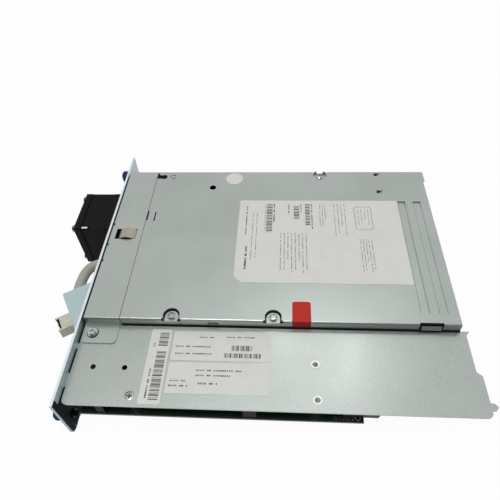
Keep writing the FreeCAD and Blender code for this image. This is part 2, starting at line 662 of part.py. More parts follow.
def drive_chassis():
    """Cast tub: floor, stepped side walls, rear wall, screw bosses, vents and tapped holes."""
    step = DRIVE_HEIGHT - COVER_SKIRT - SKIRT_GAP
    lip_y = FAR_Y - COVER_SHEET
    right = [(FAR_Y, 0), (FAR_Y, step), (lip_y, step), (lip_y, ROOF_Z), (INNER_Y, ROOF_Z),
             (INNER_Y, CHASSIS_FLOOR)]
    left = [(-y, z) for y, z in reversed(right)]
    tub = along_x(right + left, SEAM_X, NOSE_X)
    rear = box((SEAM_X, SEAM_X + CHASSIS_WALL), (-INNER_Y, INNER_Y), (CHASSIS_FLOOR, ROOF_Z))
    bosses = []
    for x, y in pocket_places():
        side = math.copysign(1, y)
        wall = side * INNER_Y
        reach = wall - side * SCREW_POCKET_R
        width = (x - SCREW_POCKET_R, x + SCREW_POCKET_R)
        bosses.append(box(width, sorted((wall, reach)), (ROOF_Z - SCREW_LUG_HEIGHT, ROOF_Z)))
    for sx in (-1, 1):
        for sy in (-1, 1):
            foot = Vector(sx * BOTTOM_SCREW_SPACING_X / 2, sy * BOTTOM_SCREW_SPACING_Y / 2, 0)
            bosses.append(rod(BOTTOM_BOSS_R, foot, BOTTOM_BOSS_HEIGHT).common(tub_space()))
    body = fuse([tub, rear] + bosses)
    removed = []
    for x, y in pocket_places():
        seat = pocket_floor() - COVER_SHEET
        reach = SCREW_POCKET_R + COVER_SHEET
        removed.append(rod(reach, Vector(x, y, seat), DRIVE_HEIGHT))
        removed.append(rod(SCREW_TAP_R, Vector(x, y, seat - 8), 10))
    for sx in (-1, 1):
        for sy in (-1, 1):
            place = Vector(sx * BOTTOM_SCREW_SPACING_X / 2, sy * BOTTOM_SCREW_SPACING_Y / 2, -1)
            removed.append(rod(SCREW_TAP_R, place, BOTTOM_BOSS_HEIGHT))
        for side in (-1, 1):
            start = Vector(sx * BOTTOM_SCREW_SPACING_X / 2, side * (FAR_Y + 1), SIDE_SCREW_HEIGHT)
            removed.append(rod(SCREW_TAP_R, start, CHASSIS_WALL + 2, Vector(0, -side, 0)))
    for index in range(FLOOR_SLOT_COUNT):
        x = SEAM_X + CHASSIS_WALL + (index + 1) * FLOOR_SLOT_PITCH
        for side in (-1, 1):
            centre = (x, side * (INNER_Y - FLOOR_SLOT_LENGTH))
            removed.append(stadium(centre, FLOOR_SLOT_LENGTH, FLOOR_SLOT_WIDTH, -1, CHASSIS_FLOOR + 1, 90))
    socket = connector_block_span()
    removed.append(box((SEAM_X - 1, SEAM_X + CHASSIS_WALL + 1), socket[0], socket[1]))
    return fuse([cut(body, removed)] + skirt_hooks())


def skirt_hooks():
    """Catches on the chassis's near side that stand in the slots of the cover's skirt."""
    top = DRIVE_HEIGHT - SKIRT_SLOT_DROP - SKIRT_HOOK_GAP
    low = DRIVE_HEIGHT - SKIRT_SLOT_DROP - SKIRT_SLOT_HEIGHT + SKIRT_HOOK_GAP
    hooks = []
    for start, end in skirt_slot_spans():
        span = (start + SKIRT_HOOK_INSET, end - SKIRT_HOOK_INSET)
        hooks.append(box(span, (NEAR_Y + COVER_SHEET / 4, NEAR_Y + COVER_SHEET), (low, top)))
    return hooks


def tub_space():
    """The chassis's outer block, which trims bosses that would stand out of it."""
    return box((SEAM_X, NOSE_X), (NEAR_Y, FAR_Y), (0, DRIVE_HEIGHT))


def connector_block_span():
    """Y and Z limits of the drive's own rear connector, on the axis of the bridge cable."""
    _, y, z = CABLE_ROUTE[0]
    half = PLUG_SIZE / 2 + 1.5
    return (y - half, y + half), (z - half, z + half)


def rear_cover():
    """Hat-shaped lid over the rear compartment, with a screw tab on the side plate."""
    rear = PANEL_X + PANEL_GAP
    t = COVER_SHEET
    section = [(NEAR_Y - COVER_TAB_WIDTH, PLATE_TOP), (NEAR_Y + t, PLATE_TOP), (NEAR_Y + t, ROOF_Z),
               (FAR_Y - t, ROOF_Z), (FAR_Y - t, TRAY_SHEET), (FAR_Y, TRAY_SHEET), (FAR_Y, DRIVE_HEIGHT),
               (NEAR_Y, DRIVE_HEIGHT), (NEAR_Y, PLATE_TOP + t), (NEAR_Y - COVER_TAB_WIDTH, PLATE_TOP + t)]
    hat = along_x(section, rear, SEAM_X - SEAM_GAP)
    hat = round_edges(hat, COVER_BEND, lengthwise(ROOF_Z + t / 2))
    tab_end = SEAM_X - COVER_TAB_FRONT
    trim = box((tab_end, SEAM_X + 1), (NEAR_Y - COVER_TAB_WIDTH - 1, NEAR_Y), (PLATE_TOP - 1, PLATE_TOP + t))
    window_x = rear + CLIP_WINDOW_REAR
    window_y = NEAR_Y + CLIP_WINDOW_NEAR
    window = box((window_x, window_x + CLIP_WINDOW_LENGTH), (window_y, window_y + CLIP_WINDOW_WIDTH),
                 (ROOF_Z - 1, DRIVE_HEIGHT + 1))
    screw = cover_screw_place()
    hole = rod(SCREW_HOLE_R, Vector(screw.x, screw.y, PLATE_TOP - 1), t + 2)
    notches = []
    for from_near in REAR_NOTCHES:
        span = (NEAR_Y + from_near, NEAR_Y + from_near + REAR_NOTCH_WIDTH)
        notches.append(box((rear - 1, rear + REAR_NOTCH_DEPTH), span, (ROOF_Z - 1, DRIVE_HEIGHT + 1)))
    hat = cut(hat, [trim, window, hole] + notches)
    return round_edges(hat, COVER_TAB_CORNER, upright(NEAR_Y - COVER_TAB_WIDTH + 0.01))


def cover_screw_place():
    """Axis of the screw that holds the rear cover's tab to the side plate."""
    return Vector(SEAM_X - TAB_SCREW_SETBACK, NEAR_Y - COVER_TAB_WIDTH / 2, PLATE_TOP + COVER_SHEET)


def rear_tray():
    """Floor of the rear compartment, folded up against the rear panel and the drive."""
    t = TRAY_SHEET
    front = PANEL_X + t
    section = [(PANEL_X, 0), (SEAM_X, 0), (SEAM_X, t), (front, t), (front, TRAY_LIP), (PANEL_X, TRAY_LIP)]
    tray = along_y(section, NEAR_Y, FAR_Y)
    holes = []
    for place in tray_screw_places():
        holes.append(rod(SCREW_TAP_R, place - Vector(1, 0, 0), t + 4, Vector(1, 0, 0)))
    holes.append(rod(FAN_BORE_R, Vector(PANEL_X - 1, FAN_Y, FAN_Z), t + 2, Vector(1, 0, 0)))
    return cut(tray, holes)


def tray_screw_places():
    """Points on the rear panel's outer face where screws hold the tray's lip."""
    return [Vector(PANEL_BACK, y, TRAY_LIP / 2 + TRAY_SHEET / 2) for y in (NEAR_Y + 12, 0.0, FAR_Y - 12)]


def side_plate():
    """Board carrier: a plate beside the drive with a flange down the drive's side."""
    rear = PANEL_X + PLATE_REAR_GAP
    near = PLATE_NEAR
    step_y = NEAR_Y - PLATE_STEP_FROM_DRIVE
    front = PLATE_FRONT
    wide = front + PLATE_STEP
    tongue_y = NEAR_Y - TONGUE_FROM_DRIVE
    half = TONGUE_WIDTH / 2
    points = [(rear, NEAR_Y), (front + 2.4, NEAR_Y), (front, NEAR_Y - PLATE_STEP), (front, step_y + 1.5),
              (wide, step_y - 1.0), (wide, tongue_y + half), (wide + TONGUE_REACH * 0.55, tongue_y + half),
              (wide + TONGUE_REACH, tongue_y), (wide + TONGUE_REACH * 0.55, tongue_y - half),
              (wide, tongue_y - half), (wide, near), (rear, near)]
    flat = plate(points, PLATE_LOW, PLATE_TOP)
    flat = round_edges(flat, PLATE_CORNER, upright(near + 0.01))
    tabs = []
    for start, end in (PLATE_TAB_1, PLATE_TAB_2):
        tabs.append(box((PANEL_X, rear + 1), (NEAR_Y - end, NEAR_Y - start), (PLATE_LOW, PLATE_TOP)))
    flange = box((rear, FLANGE_FRONT), (NEAR_Y - PLATE_SHEET, NEAR_Y), (FLANGE_LOW, PLATE_TOP))
    removed = []
    for along in (DOCK_HOLE_1, DOCK_HOLE_2):
        place = Vector(SEAM_X + along, NEAR_Y - DOCK_HOLE_FROM_DRIVE, 0)
        removed.append(rod(DOCK_HOLE_R, place, DRIVE_HEIGHT))
    screw = cover_screw_place()
    removed.append(rod(SCREW_TAP_R, Vector(screw.x, screw.y, PLATE_LOW - 1), PLATE_SHEET + 2))
    for x, y in RIVETED_PLACES:
        removed.append(rod(STANDOFF_NECK_R, Vector(x, y, PLATE_LOW - 1), PLATE_SHEET + 2))
    removed.append(rod(SCREW_HOLE_R, Vector(*SCREWED_PLACE, PLATE_LOW - 1), PLATE_SHEET + 2))
    removed.append(rod(SUNK_RECESS_R, Vector(*SCREWED_PLACE, PLATE_TOP - SUNK_RECESS_DEPTH), PLATE_SHEET))
    for sign in (-1, 1):
        place = Vector(sign * BOTTOM_SCREW_SPACING_X / 2, NEAR_Y - PLATE_SHEET - 1, SIDE_SCREW_HEIGHT)
        removed.append(rod(SCREW_HOLE_R, place, PLATE_SHEET + 2, Vector(0, 1, 0)))
    return cut(fuse([flat, flange] + tabs), removed)


def rear_panel():
    """Rear sheet with the fan duct, cable hole, thumbscrew holes and tab slots."""
    sheet = box((PANEL_BACK, PANEL_X), (PANEL_NEAR, PANEL_FAR), (PANEL_LOW, PANEL_HIGH))
    sheet = round_edges(sheet, PANEL_CORNER, under(PANEL_LOW + 0.01, PANEL_FAR + 1))
    removed = []
    x = PANEL_BACK - 1
    length = PANEL_SHEET + 2
    forward = Vector(1, 0, 0)
    removed.append(rod(FAN_BORE_R, Vector(x, FAN_Y, FAN_Z), length, forward))
    for y, z in fan_screw_places():
        removed.append(rod(SCREW_TAP_R, Vector(x, y, z), length, forward))
    for y, z in (KNOB_FAR, KNOB_NEAR):
        removed.append(rod(FERRULE_R, Vector(x, y, z), length, forward))
    _, y, z = CABLE_ROUTE[0]
    removed.append(rod(CABLE_R + GROMMET_WALL, Vector(x, y, z), length, forward))
    for place in tray_screw_places():
        removed.append(rod(SCREW_HOLE_R, place - forward, length, forward))
    removed.append(rod(INDEX_HOLE_R, Vector(x, *index_hole_place()), length, forward))
    return cut(sheet, removed)


def index_hole_place():
    """Y and Z of the small hole in the panel's lower near corner."""
    return PANEL_NEAR + INDEX_HOLE_INSET[0], PANEL_LOW + INDEX_HOLE_INSET[1]


def panel_insulator():
    """Black film inside the rear panel, round the board's end, notched for the plate's tabs."""
    low = PANEL_LOW + INSULATOR_MARGIN
    shelf = PLATE_TOP - INSULATOR_MARGIN
    near = PANEL_NEAR + INSULATOR_MARGIN
    plate_end = PLATE_NEAR - INSULATOR_MARGIN
    far = NEAR_Y - INSULATOR_MARGIN
    high = PANEL_HIGH - INSULATOR_MARGIN
    points = [(near, low), (far, low), (far, shelf), (plate_end, shelf), (plate_end, high), (near, high)]
    film = along_x(points, PANEL_X, PANEL_X + INSULATOR_SHEET)
    film = round_edges(film, PANEL_CORNER, under(low + 0.01, near + 0.01))
    removed = []
    for start, end in (PLATE_TAB_1, PLATE_TAB_2):
        span = (NEAR_Y - end - INSULATOR_MARGIN, NEAR_Y - start + INSULATOR_MARGIN)
        removed.append(box((PANEL_X - 1, PANEL_X + 1), span, (PLATE_LOW - INSULATOR_MARGIN, DRIVE_HEIGHT)))
    forward = Vector(1, 0, 0)
    knob = Vector(PANEL_X - 1, *KNOB_NEAR)
    removed.append(rod(FERRULE_R + SHANK_R, knob, 2, forward))
    removed.append(rod(INDEX_HOLE_R, Vector(PANEL_X - 1, *index_hole_place()), 2, forward))
    return cut(film, removed)


def spring_clip():
    """Grounding spring: a thin strip that hooks under the cover and arches above it."""
    rear = PANEL_X + PANEL_GAP + CLIP_WINDOW_REAR
    front = rear + CLIP_WINDOW_LENGTH
    near = NEAR_Y + CLIP_WINDOW_NEAR + CLIP_SIDE_GAP
    far = near + CLIP_WINDOW_WIDTH - 2 * CLIP_SIDE_GAP
    seat = ROOF_Z
    crest = DRIVE_HEIGHT + CLIP_RISE
    start = Vector(front + 4.0, near, seat - CLIP_SHEET)
    bend = Vector(front - 0.6, near, seat - CLIP_SHEET)
    top = Vector(rear + 0.42 * CLIP_WINDOW_LENGTH, near, crest - CLIP_SHEET)
    foot = Vector(rear + 0.8, near, seat - 2.6)
    line = Part.LineSegment(start, bend).toShape()
    arch = Part.Arc(bend, top, foot).toShape()
    up = Vector(0, 0, CLIP_SHEET)
    low_wire = Part.Wire([line, arch])
    high_wire = low_wire.copy()
    high_wire.translate(up)
    caps = [Part.makeLine(start, start + up), Part.makeLine(foot, foot + up)]
    face = Part.Face(Part.Wire(Part.__sortEdges__(low_wire.Edges + high_wire.Edges + caps)))
    return face.extrude(Vector(0, far - near, 0))


# ---- fasteners -----------------------------------------------------------------------------------
def cross_recess(top):
    """Two crossed slots that go down into a screw head from its top."""
    half = RECESS_WIDTH / 2
    span = (top - RECESS_DEPTH, top + 1)
    arms = (-RECESS_ARM, RECESS_ARM)
    return [box(arms, (-half, half), span), box((-half, half), arms, span)]


def screw_profile(length, head_r, head_height):
    """Half section of a screw: plain shank below zero, crowned head above."""
    return [(0, -length), (SCREW_TAP_R, -length), (SCREW_TAP_R, 0), (head_r, 0), (head_r, head_height / 2),
            (SCREW_CROWN_R, head_height), (0, head_height)]


def pan_screw(base, axis, length=COVER_SCREW_LENGTH):
    """Screw with a crowned head and a cross recess; base is the underside of its head."""
    profile = screw_profile(length, SCREW_HEAD_R, SCREW_HEAD_HEIGHT)
    screw = cut(turned(profile), cross_recess(SCREW_HEAD_HEIGHT))
    screw.Placement = Placement(base, Rotation(Vector(0, 0, 1), axis))
    return screw


def cover_screws():
    """Screws in the dished pockets of the top cover."""
    up = Vector(0, 0, 1)
    return Part.makeCompound([pan_screw(Vector(x, y, pocket_floor()), up) for x, y in pocket_places()])


def tab_screw():
    """Hex-flange screw on the rear cover's tab."""
    place = cover_screw_place()
    flange = rod(TAB_FLANGE_R, Vector(), TAB_FLANGE_HEIGHT)
    corners = [math.radians(angle) for angle in range(0, 360, 60)]
    hexagon = [(TAB_HEX_R * math.cos(angle), TAB_HEX_R * math.sin(angle)) for angle in corners]
    head = plate(hexagon, TAB_FLANGE_HEIGHT, TAB_HEAD_HEIGHT)
    shank = rod(SCREW_TAP_R - 0.01, Vector(0, 0, -BOARD_SCREW_LENGTH), BOARD_SCREW_LENGTH)
    return placed(cut(fuse([flange, head, shank]), cross_recess(TAB_HEAD_HEIGHT)), place)


def side_screws():
    """Screws through the side plate's flange into the drive's near side."""
    out = Vector(0, -1, 0)
    half = BOTTOM_SCREW_SPACING_X / 2
    places = [Vector(x, NEAR_Y - PLATE_SHEET, SIDE_SCREW_HEIGHT) for x in (-half, half)]
    return Part.makeCompound([pan_screw(place, out, SIDE_SCREW_LENGTH) for place in places])


def panel_screws():
    """Screws that hold the compartment tray to the rear panel."""
    out = Vector(-1, 0, 0)
    return Part.makeCompound([pan_screw(place, out, PANEL_SCREW_LENGTH) for place in tray_screw_places()])


# ---- interface board ---------------------------------------------------------------------------
def interface_board():
    """Circuit board that hangs under the side plate."""
    low = BOARD_TOP - BOARD_SHEET
    far = NEAR_Y - PLATE_SHEET - BOARD_FAR_GAP
    sheet = box((BOARD_REAR, BOARD_FRONT), (BOARD_NEAR, far), (low, BOARD_TOP))
    holes = [rod(SCREW_HOLE_R, Vector(x, y, low - 1), BOARD_SHEET + 2) for x, y in STANDOFF_PLACES]
    return cut(sheet, holes)


def board_standoffs():
    """Posts between the side plate and the board: two riveted with open rings, one screwed, one plain."""
    posts = []
    for x, y in STANDOFF_PLACES:
        tools = [rod(SCREW_TAP_R, Vector(x, y, BOARD_TOP - 1), BOARD_SCREW_LENGTH)]
        post = rod(STANDOFF_R, Vector(x, y, BOARD_TOP), PLATE_LOW - BOARD_TOP)
        if (x, y) in RIVETED_PLACES:
            neck = rod(STANDOFF_NECK_R, Vector(x, y, PLATE_LOW), PLATE_SHEET)
            post = fuse([post, neck, rod(STANDOFF_RING_R, Vector(x, y, PLATE_TOP), STANDOFF_RING_HEIGHT)])
            foot = Vector(x, y, PLATE_TOP - STANDOFF_BORE_DEPTH)
            tools.append(rod(STANDOFF_BORE_R, foot, STANDOFF_BORE_DEPTH + 1))
        if (x, y) == SCREWED_PLACE:
            tools.append(rod(SCREW_TAP_R, Vector(x, y, PLATE_TOP - BOARD_SCREW_LENGTH), BOARD_SCREW_LENGTH))
        posts.append(cut(post, tools))
    return Part.makeCompound(posts)


def plate_screw():
    """Low-head screw in a dish of the side plate, into one of the board's posts."""
    profile = screw_profile(BOARD_SCREW_LENGTH / 2, SUNK_HEAD_R, SUNK_HEAD_HEIGHT)
    screw = cut(turned(profile), cross_recess(SUNK_HEAD_HEIGHT + RECESS_DEPTH / 2))
    return placed(screw, Vector(*SCREWED_PLACE, PLATE_TOP - SUNK_RECESS_DEPTH))


def board_screws():
    """Screws that clamp the board to its posts from below."""
    down = Vector(0, 0, -1)
    low = BOARD_TOP - BOARD_SHEET
    heads = []
    for x, y in STANDOFF_PLACES:
        heads.append(pan_screw(Vector(x, y, low), down, length=BOARD_SCREW_LENGTH))
    return Part.makeCompound(heads)


def board_chips():
    """Packages on both faces of the board, in rows as laid out on such a board."""
    span = BOARD_FRONT - BOARD_REAR
    low = BOARD_TOP - BOARD_SHEET
    middle = (BOARD_NEAR + NEAR_Y) / 2
    rows = [(*chip, BOARD_TOP, 1) for chip in TOP_CHIPS] + [(*chip, low, -1) for chip in UNDER_CHIPS]
    chips = []
    for share, length, width, height, face, way in rows:
        x = BOARD_REAR + share * span
        heights = sorted((face, face + way * height))
        chips.append(box((x, x + length), (middle - width / 2, middle + width / 2), heights))
    return Part.makeCompound(chips)


def board_clips():
    """Two folded steel clips between the plate's near edge and the board's near edge."""
    clips = []
    t = CLIP_STRIP
    y = BOARD_NEAR + CLIP_INSET
    foot = y + CLIP_FOOT
    section = [(y, BOARD_TOP), (foot, BOARD_TOP), (foot, BOARD_TOP + t), (y + t, BOARD_TOP + t),
               (y + t, PLATE_LOW - t), (foot, PLATE_LOW - t), (foot, PLATE_LOW), (y, PLATE_LOW)]
    for x, width in CLIP_SPANS:
        clips.append(along_x(section, x, x + width))
    return Part.makeCompound(clips)


def dock_connector():
    """Chamfered plug housing at the board's front end that meets the library's socket."""
    rear = BOARD_FRONT - DOCK_CONNECTOR_DEPTH
    front = BOARD_FRONT + DOCK_CONNECTOR_REACH
    low = BOARD_TOP
    high = low + DOCK_CONNECTOR_HEIGHT
    near = BOARD_NEAR + DOCK_CONNECTOR_INSET
    far = near + DOCK_CONNECTOR_LENGTH
    nose = DOCK_CONNECTOR_NOSE
    bow = [(front - nose, near), (front, near + nose), (front, far - nose), (front - nose, far)]
    body = plate([(rear, near)] + bow + [(rear, far)], low, high)
    side, roof = DOCK_MOUTH_WALL
    back = front - DOCK_MOUTH_DEPTH
    mouth = box((back, front + 1), (near + side, far - side), (low + roof, high - roof))
    side, roof = DOCK_BLADE_WALL
    tip = front - DOCK_BLADE_SETBACK
    blade = box((back - 1, tip), (near + side, far - side), (low + roof, high - roof))
    return fuse([cut(body, [mouth]), blade])


# ---- fan -----------------------------------------------------------------------------------------
def fan_screw_places():
    """Y and Z of the fan's corner screws."""
    half = FAN_HOLE_SPACING / 2
    return [(FAN_Y + sy * half, FAN_Z + sz * half) for sy in (-1, 1) for sz in (-1, 1)]


def fan_frame():
    """Square fan housing: two flanges, a slimmer body, a round duct and four motor struts."""
    rear = PANEL_BACK - FAN_DEPTH
    half = FAN_SIZE / 2
    slim = half - FAN_BODY_INSET
    full = ((FAN_Y - half, FAN_Y + half), (FAN_Z - half, FAN_Z + half))
    inner = ((FAN_Y - slim, FAN_Y + slim), (FAN_Z - slim, FAN_Z + slim))
    spans = ((rear, rear + FAN_FLANGE), (PANEL_BACK - FAN_FLANGE, PANEL_BACK))
    flanges = [round_edges(box(span, *full), FAN_CORNER_R, lengthwise()) for span in spans]
    body = box((rear, PANEL_BACK), *inner)
    forward = Vector(1, 0, 0)
    removed = [rod(FAN_BORE_R, Vector(rear - 1, FAN_Y, FAN_Z), FAN_DEPTH + 2, forward)]
    for y, z in fan_screw_places():
        removed.append(rod(FAN_SCREW_R, Vector(rear - 1, y, z), FAN_DEPTH + 2, forward))
    notch = Vector(rear + FAN_FLANGE + 1, FAN_Y - half, FAN_Z + half)
    length, depth = FAN_LEAD_NOTCH
    span = (notch.x, notch.x + length)
    removed.append(box(span, (notch.y - 1, notch.y + depth), (notch.z - depth, notch.z + 1)))
    housing = cut(fuse(flanges + [body]), removed)
    centre = Vector(PANEL_BACK - FAN_STRUT_DEPTH, FAN_Y, FAN_Z)
    strut_span = (centre.x, centre.x + FAN_STRUT_DEPTH)
    half_strut = FAN_STRUT_WIDTH / 2
    reach = (FAN_Y + FAN_HUB_R / 2, FAN_Y + slim)
    strut = box(strut_span, reach, (FAN_Z - half_strut, FAN_Z + half_strut))
    base = rod(FAN_HUB_R - half_strut / 2, centre, FAN_STRUT_DEPTH, forward)
    shaft = rod(FAN_SHAFT_R, centre - forward * FAN_SHAFT_LENGTH, FAN_SHAFT_LENGTH + 1, forward)
    struts = ring_of(strut, FAN_STRUTS, centre, forward)
    for piece in struts:
        piece.rotate(centre, forward, 180 / FAN_STRUTS)
    return fuse([housing, base, shaft] + struts)


def fan_rotor():
    """Hub cup with twisted blades, each lofted between a root and a tip section."""
    forward = Vector(1, 0, 0)
    hub_end = PANEL_BACK - FAN_STRUT_DEPTH - FAN_HUB_GAP
    hub_start = hub_end - FAN_HUB_LENGTH
    centre = Vector(hub_start, FAN_Y, FAN_Z)
    bevel = FAN_HUB_BEVEL
    hub = turned([(0, 0), (FAN_HUB_R - bevel, 0), (FAN_HUB_R, bevel), (FAN_HUB_R, FAN_HUB_LENGTH),
                  (0, FAN_HUB_LENGTH)])
    hub.Placement = Placement(centre, Rotation(Vector(0, 0, 1), forward))
    bore_start = Vector(hub_end - FAN_BORE_DEPTH, FAN_Y, FAN_Z)
    bore = rod(FAN_SHAFT_R + PIN_PLAY, bore_start, FAN_BORE_DEPTH + 1, forward)
    cup_start = Vector(hub_end - FAN_CUP_DEPTH, FAN_Y, FAN_Z)
    cup = rod(FAN_HUB_R - FAN_HUB_WALL, cup_start, FAN_CUP_DEPTH + 1, forward)
    hub = cut(hub, [bore, cup])
    tip_r = FAN_BORE_R - FAN_BLADE_GAP
    blade = Part.makeLoft([blade_section(hub_start, *row) for row in FAN_BLADE_ROWS], True)
    sweep = rod(tip_r, centre, FAN_HUB_LENGTH, forward)
    blade = blade.common(sweep)
    return fuse([hub] + ring_of(blade, FAN_BLADES, centre, forward))


def blade_section(hub_start, radius, pitch, thickness):
    """Cambered blade section at a radius; pitch is the chord's angle to the fan axis."""
    middle_x = hub_start + FAN_HUB_LENGTH / 2
    half = FAN_BLADE_CHORD / 2
    turn = math.radians(pitch)
    points = []
    for along, bow in FAN_BLADE_CAMBER:
        offset = bow * thickness
        x = middle_x + along * half * math.cos(turn) - offset * math.sin(turn)
        y = along * half * math.sin(turn) + offset * math.cos(turn)
        points.append((x, FAN_Y + y, FAN_Z + radius))
    return outline(points)


def fan_screws():
    """Long screws through the fan's corners into the rear panel."""
    rear = PANEL_BACK - FAN_DEPTH - 2 * FAN_GUARD_WIRE_R
    out = Vector(-1, 0, 0)
    length = PANEL_X - rear
    return Part.makeCompound([pan_screw(Vector(rear, y, z), out, length) for y, z in fan_screw_places()])


def guard_ring(radius, centre):
    """Ring of flat-sided wire about the fan's axis."""
    section = []
    for index in range(FAN_GUARD_SIDES):
        turn = 2 * math.pi * index / FAN_GUARD_SIDES
        x = centre.x + FAN_GUARD_WIRE_R * math.cos(turn)
        section.append((x, centre.y + radius + FAN_GUARD_WIRE_R * math.sin(turn), centre.z))
    return Part.Face(outline(section)).revolve(centre, Vector(1, 0, 0), 360)


def fan_guard():
    """Wire guard on the fan's outer face: rings on two cross wires with screw eyes."""
    wire_r = FAN_GUARD_WIRE_R
    axis = Vector(1, 0, 0)
    face = PANEL_BACK - FAN_DEPTH
    centre = Vector(face, FAN_Y, FAN_Z)
    ring_centre = Vector(face - 2.6 * wire_r, FAN_Y, FAN_Z)
    pieces = [guard_ring(radius, ring_centre) for radius in FAN_GUARD_RINGS]
    reach = FAN_HOLE_SPACING / math.sqrt(2) - FAN_SCREW_R
    for angle in (45, 135):
        spoke = rod(wire_r, Vector(face - wire_r, FAN_Y - reach, FAN_Z), 2 * reach, Vector(0, 1, 0))
        spoke.rotate(centre, axis, angle)
        pieces.append(spoke)
    holes = []
    for y, z in fan_screw_places():
        place = Vector(face - 2 * wire_r, y, z)
        holes.append(rod(FAN_SCREW_R, place - axis, 2 * wire_r + 2, axis))
        pieces.append(rod(FAN_GUARD_EYE_R, place, 2 * wire_r, axis))
    return cut(fuse(pieces), holes)


# ---- captive thumbscrews ---------------------------------------------------------------------------
def knob_outline(y, z):
    """Fluted outline of a knob in Y and Z: ribs and flutes by turns."""
    points = []
    for index in range(4 * KNOB_FLUTES):
        radius = KNOB_R if index % 4 < 2 else KNOB_R - KNOB_FLUTE_DEPTH
        turn = math.pi * index / (2 * KNOB_FLUTES)
        points.append((y + radius * math.cos(turn), z + radius * math.sin(turn)))
    return points


def thumbscrew(place):
    """Fluted knob with its shank; it stands off the panel by its travel."""
    y, z = place
    forward = Vector(1, 0, 0)
    start = PANEL_BACK - KNOB_TRAVEL
    end = start - KNOB_LENGTH
    knob = along_x(knob_outline(y, z), end + KNOB_CAP, start)
    cap = rod(KNOB_R - 2 * KNOB_FLUTE_DEPTH, Vector(end, y, z), KNOB_CAP, forward)
    across = (y - KNOB_R, y + KNOB_R)
    slot = box((end - 1, end + 1.5 * KNOB_CAP), across, (z - RECESS_WIDTH, z + RECESS_WIDTH))
    well = rod(FERRULE_R + RAIL_GAP, Vector(start - KNOB_WELL, y, z), 2 * KNOB_WELL, forward)
    length = SHANK_ROOT + KNOB_TRAVEL + PANEL_SHEET + SHANK_TAIL
    shank = rod(SHANK_R, Vector(start - SHANK_ROOT, y, z), length, forward)
    groove_start = Vector(PANEL_X + RAIL_GAP, y, z)
    groove = rod(SHANK_R + 1, groove_start, RETAINER_SHEET + 2 * PIN_PLAY, forward)
    core = rod(SHANK_R - SHANK_GROOVE, groove_start, RETAINER_SHEET + 2 * PIN_PLAY, forward)
    return fuse([cut(fuse([knob, cap]), [slot, well]), cut(shank, [groove]), core])


def ferrules():
    """Flanged bushes pressed into the rear panel for the two thumbscrews."""
    forward = Vector(1, 0, 0)
    bushes = []
    for y, z in (KNOB_FAR, KNOB_NEAR):
        start = Vector(PANEL_BACK - FERRULE_LENGTH, y, z)
        sleeve = rod(FERRULE_R, start, FERRULE_LENGTH + PANEL_SHEET, forward)
        bore = rod(SHANK_R + RAIL_GAP, start - forward, FERRULE_LENGTH + PANEL_SHEET + 2, forward)
        bushes.append(cut(sleeve, [bore]))
    return Part.makeCompound(bushes)


def retainer(place):
    """Split retaining ring in the groove of a thumbscrew's shank."""
    y, z = place
    x = PANEL_X + RAIL_GAP + PIN_PLAY
    forward = Vector(1, 0, 0)
    ring = rod(SHANK_R + RETAINER_REACH, Vector(x, y, z), RETAINER_SHEET, forward)
    bore = rod(SHANK_R - SHANK_GROOVE + PIN_PLAY, Vector(x - 1, y, z), RETAINER_SHEET + 2, forward)
    gap = box((x - 1, x + 2), (y - RETAINER_SLIT, y + RETAINER_SLIT), (z, z + 2 * SHANK_R))
    return cut(ring, [bore, gap])


# ---- connector bracket and cable -----------------------------------------------------------------
def bracket_length():
    """Distance along the bracket's outer edge from its corner to the panel."""
    return (PANEL_BACK - BRACKET_CORNER[0]) / BRACKET_ALONG.x


def connector_bracket():
    """Wedge bracket: a triangular top and a turned wall that carries the port."""
    corner = Vector(*BRACKET_CORNER, 0)
    far_run = (PANEL_BACK - corner.x) / BRACKET_INWARD.x
    far = corner + BRACKET_INWARD * far_run
    near = corner + BRACKET_ALONG * bracket_length()
    points = [(corner.x, corner.y), (far.x, far.y), (near.x, near.y)]
    top = plate(points, BRACKET_TOP - BRACKET_SHEET, BRACKET_TOP)
    top = round_edges(top, BRACKET_NOSE_R, lambda edge: edge.CenterOfMass.x < corner.x + 0.1)
    wall_end = bracket_length() - BRACKET_SHEET * abs(BRACKET_INWARD.x / BRACKET_ALONG.x)
    heights = (BRACKET_TOP - BRACKET_WALL_HEIGHT, BRACKET_TOP - BRACKET_WALL_DROP)
    wall = bracket_box((BRACKET_WALL_INSET, wall_end), (0, BRACKET_SHEET), heights)
    heights = (BRACKET_TOP - PORT_DROP - PORT_HEIGHT, BRACKET_TOP - BRACKET_SHEET)
    hole = bracket_box((PORT_START, PORT_START + PORT_WIDTH), (-1, BRACKET_SHEET + 1), heights)
    return cut(fuse([top, wall]), [hole])


def port_shell():
    """Folded metal cage of the duplex port, with its mouth pointing outwards."""
    top = BRACKET_TOP - BRACKET_SHEET
    low = BRACKET_TOP - PORT_DROP - PORT_HEIGHT
    along = (PORT_START, PORT_START + PORT_WIDTH)
    body = bracket_box(along, (-PORT_REACH, BOOT_DEPTH * 0.2 + BRACKET_SHEET), (low, top))
    t = PORT_SHELL
    inner = bracket_box((along[0] + t, along[1] - t), (-PORT_REACH - 1, BRACKET_SHEET), (low + t, top - t))
    rim = 2 * t
    depth = (-PORT_REACH - 1, -PORT_TOP_REACH)
    notch = bracket_box((along[0] + rim, along[1] - rim), depth, (top - rim, top + 1))
    return cut(body, [inner, notch])


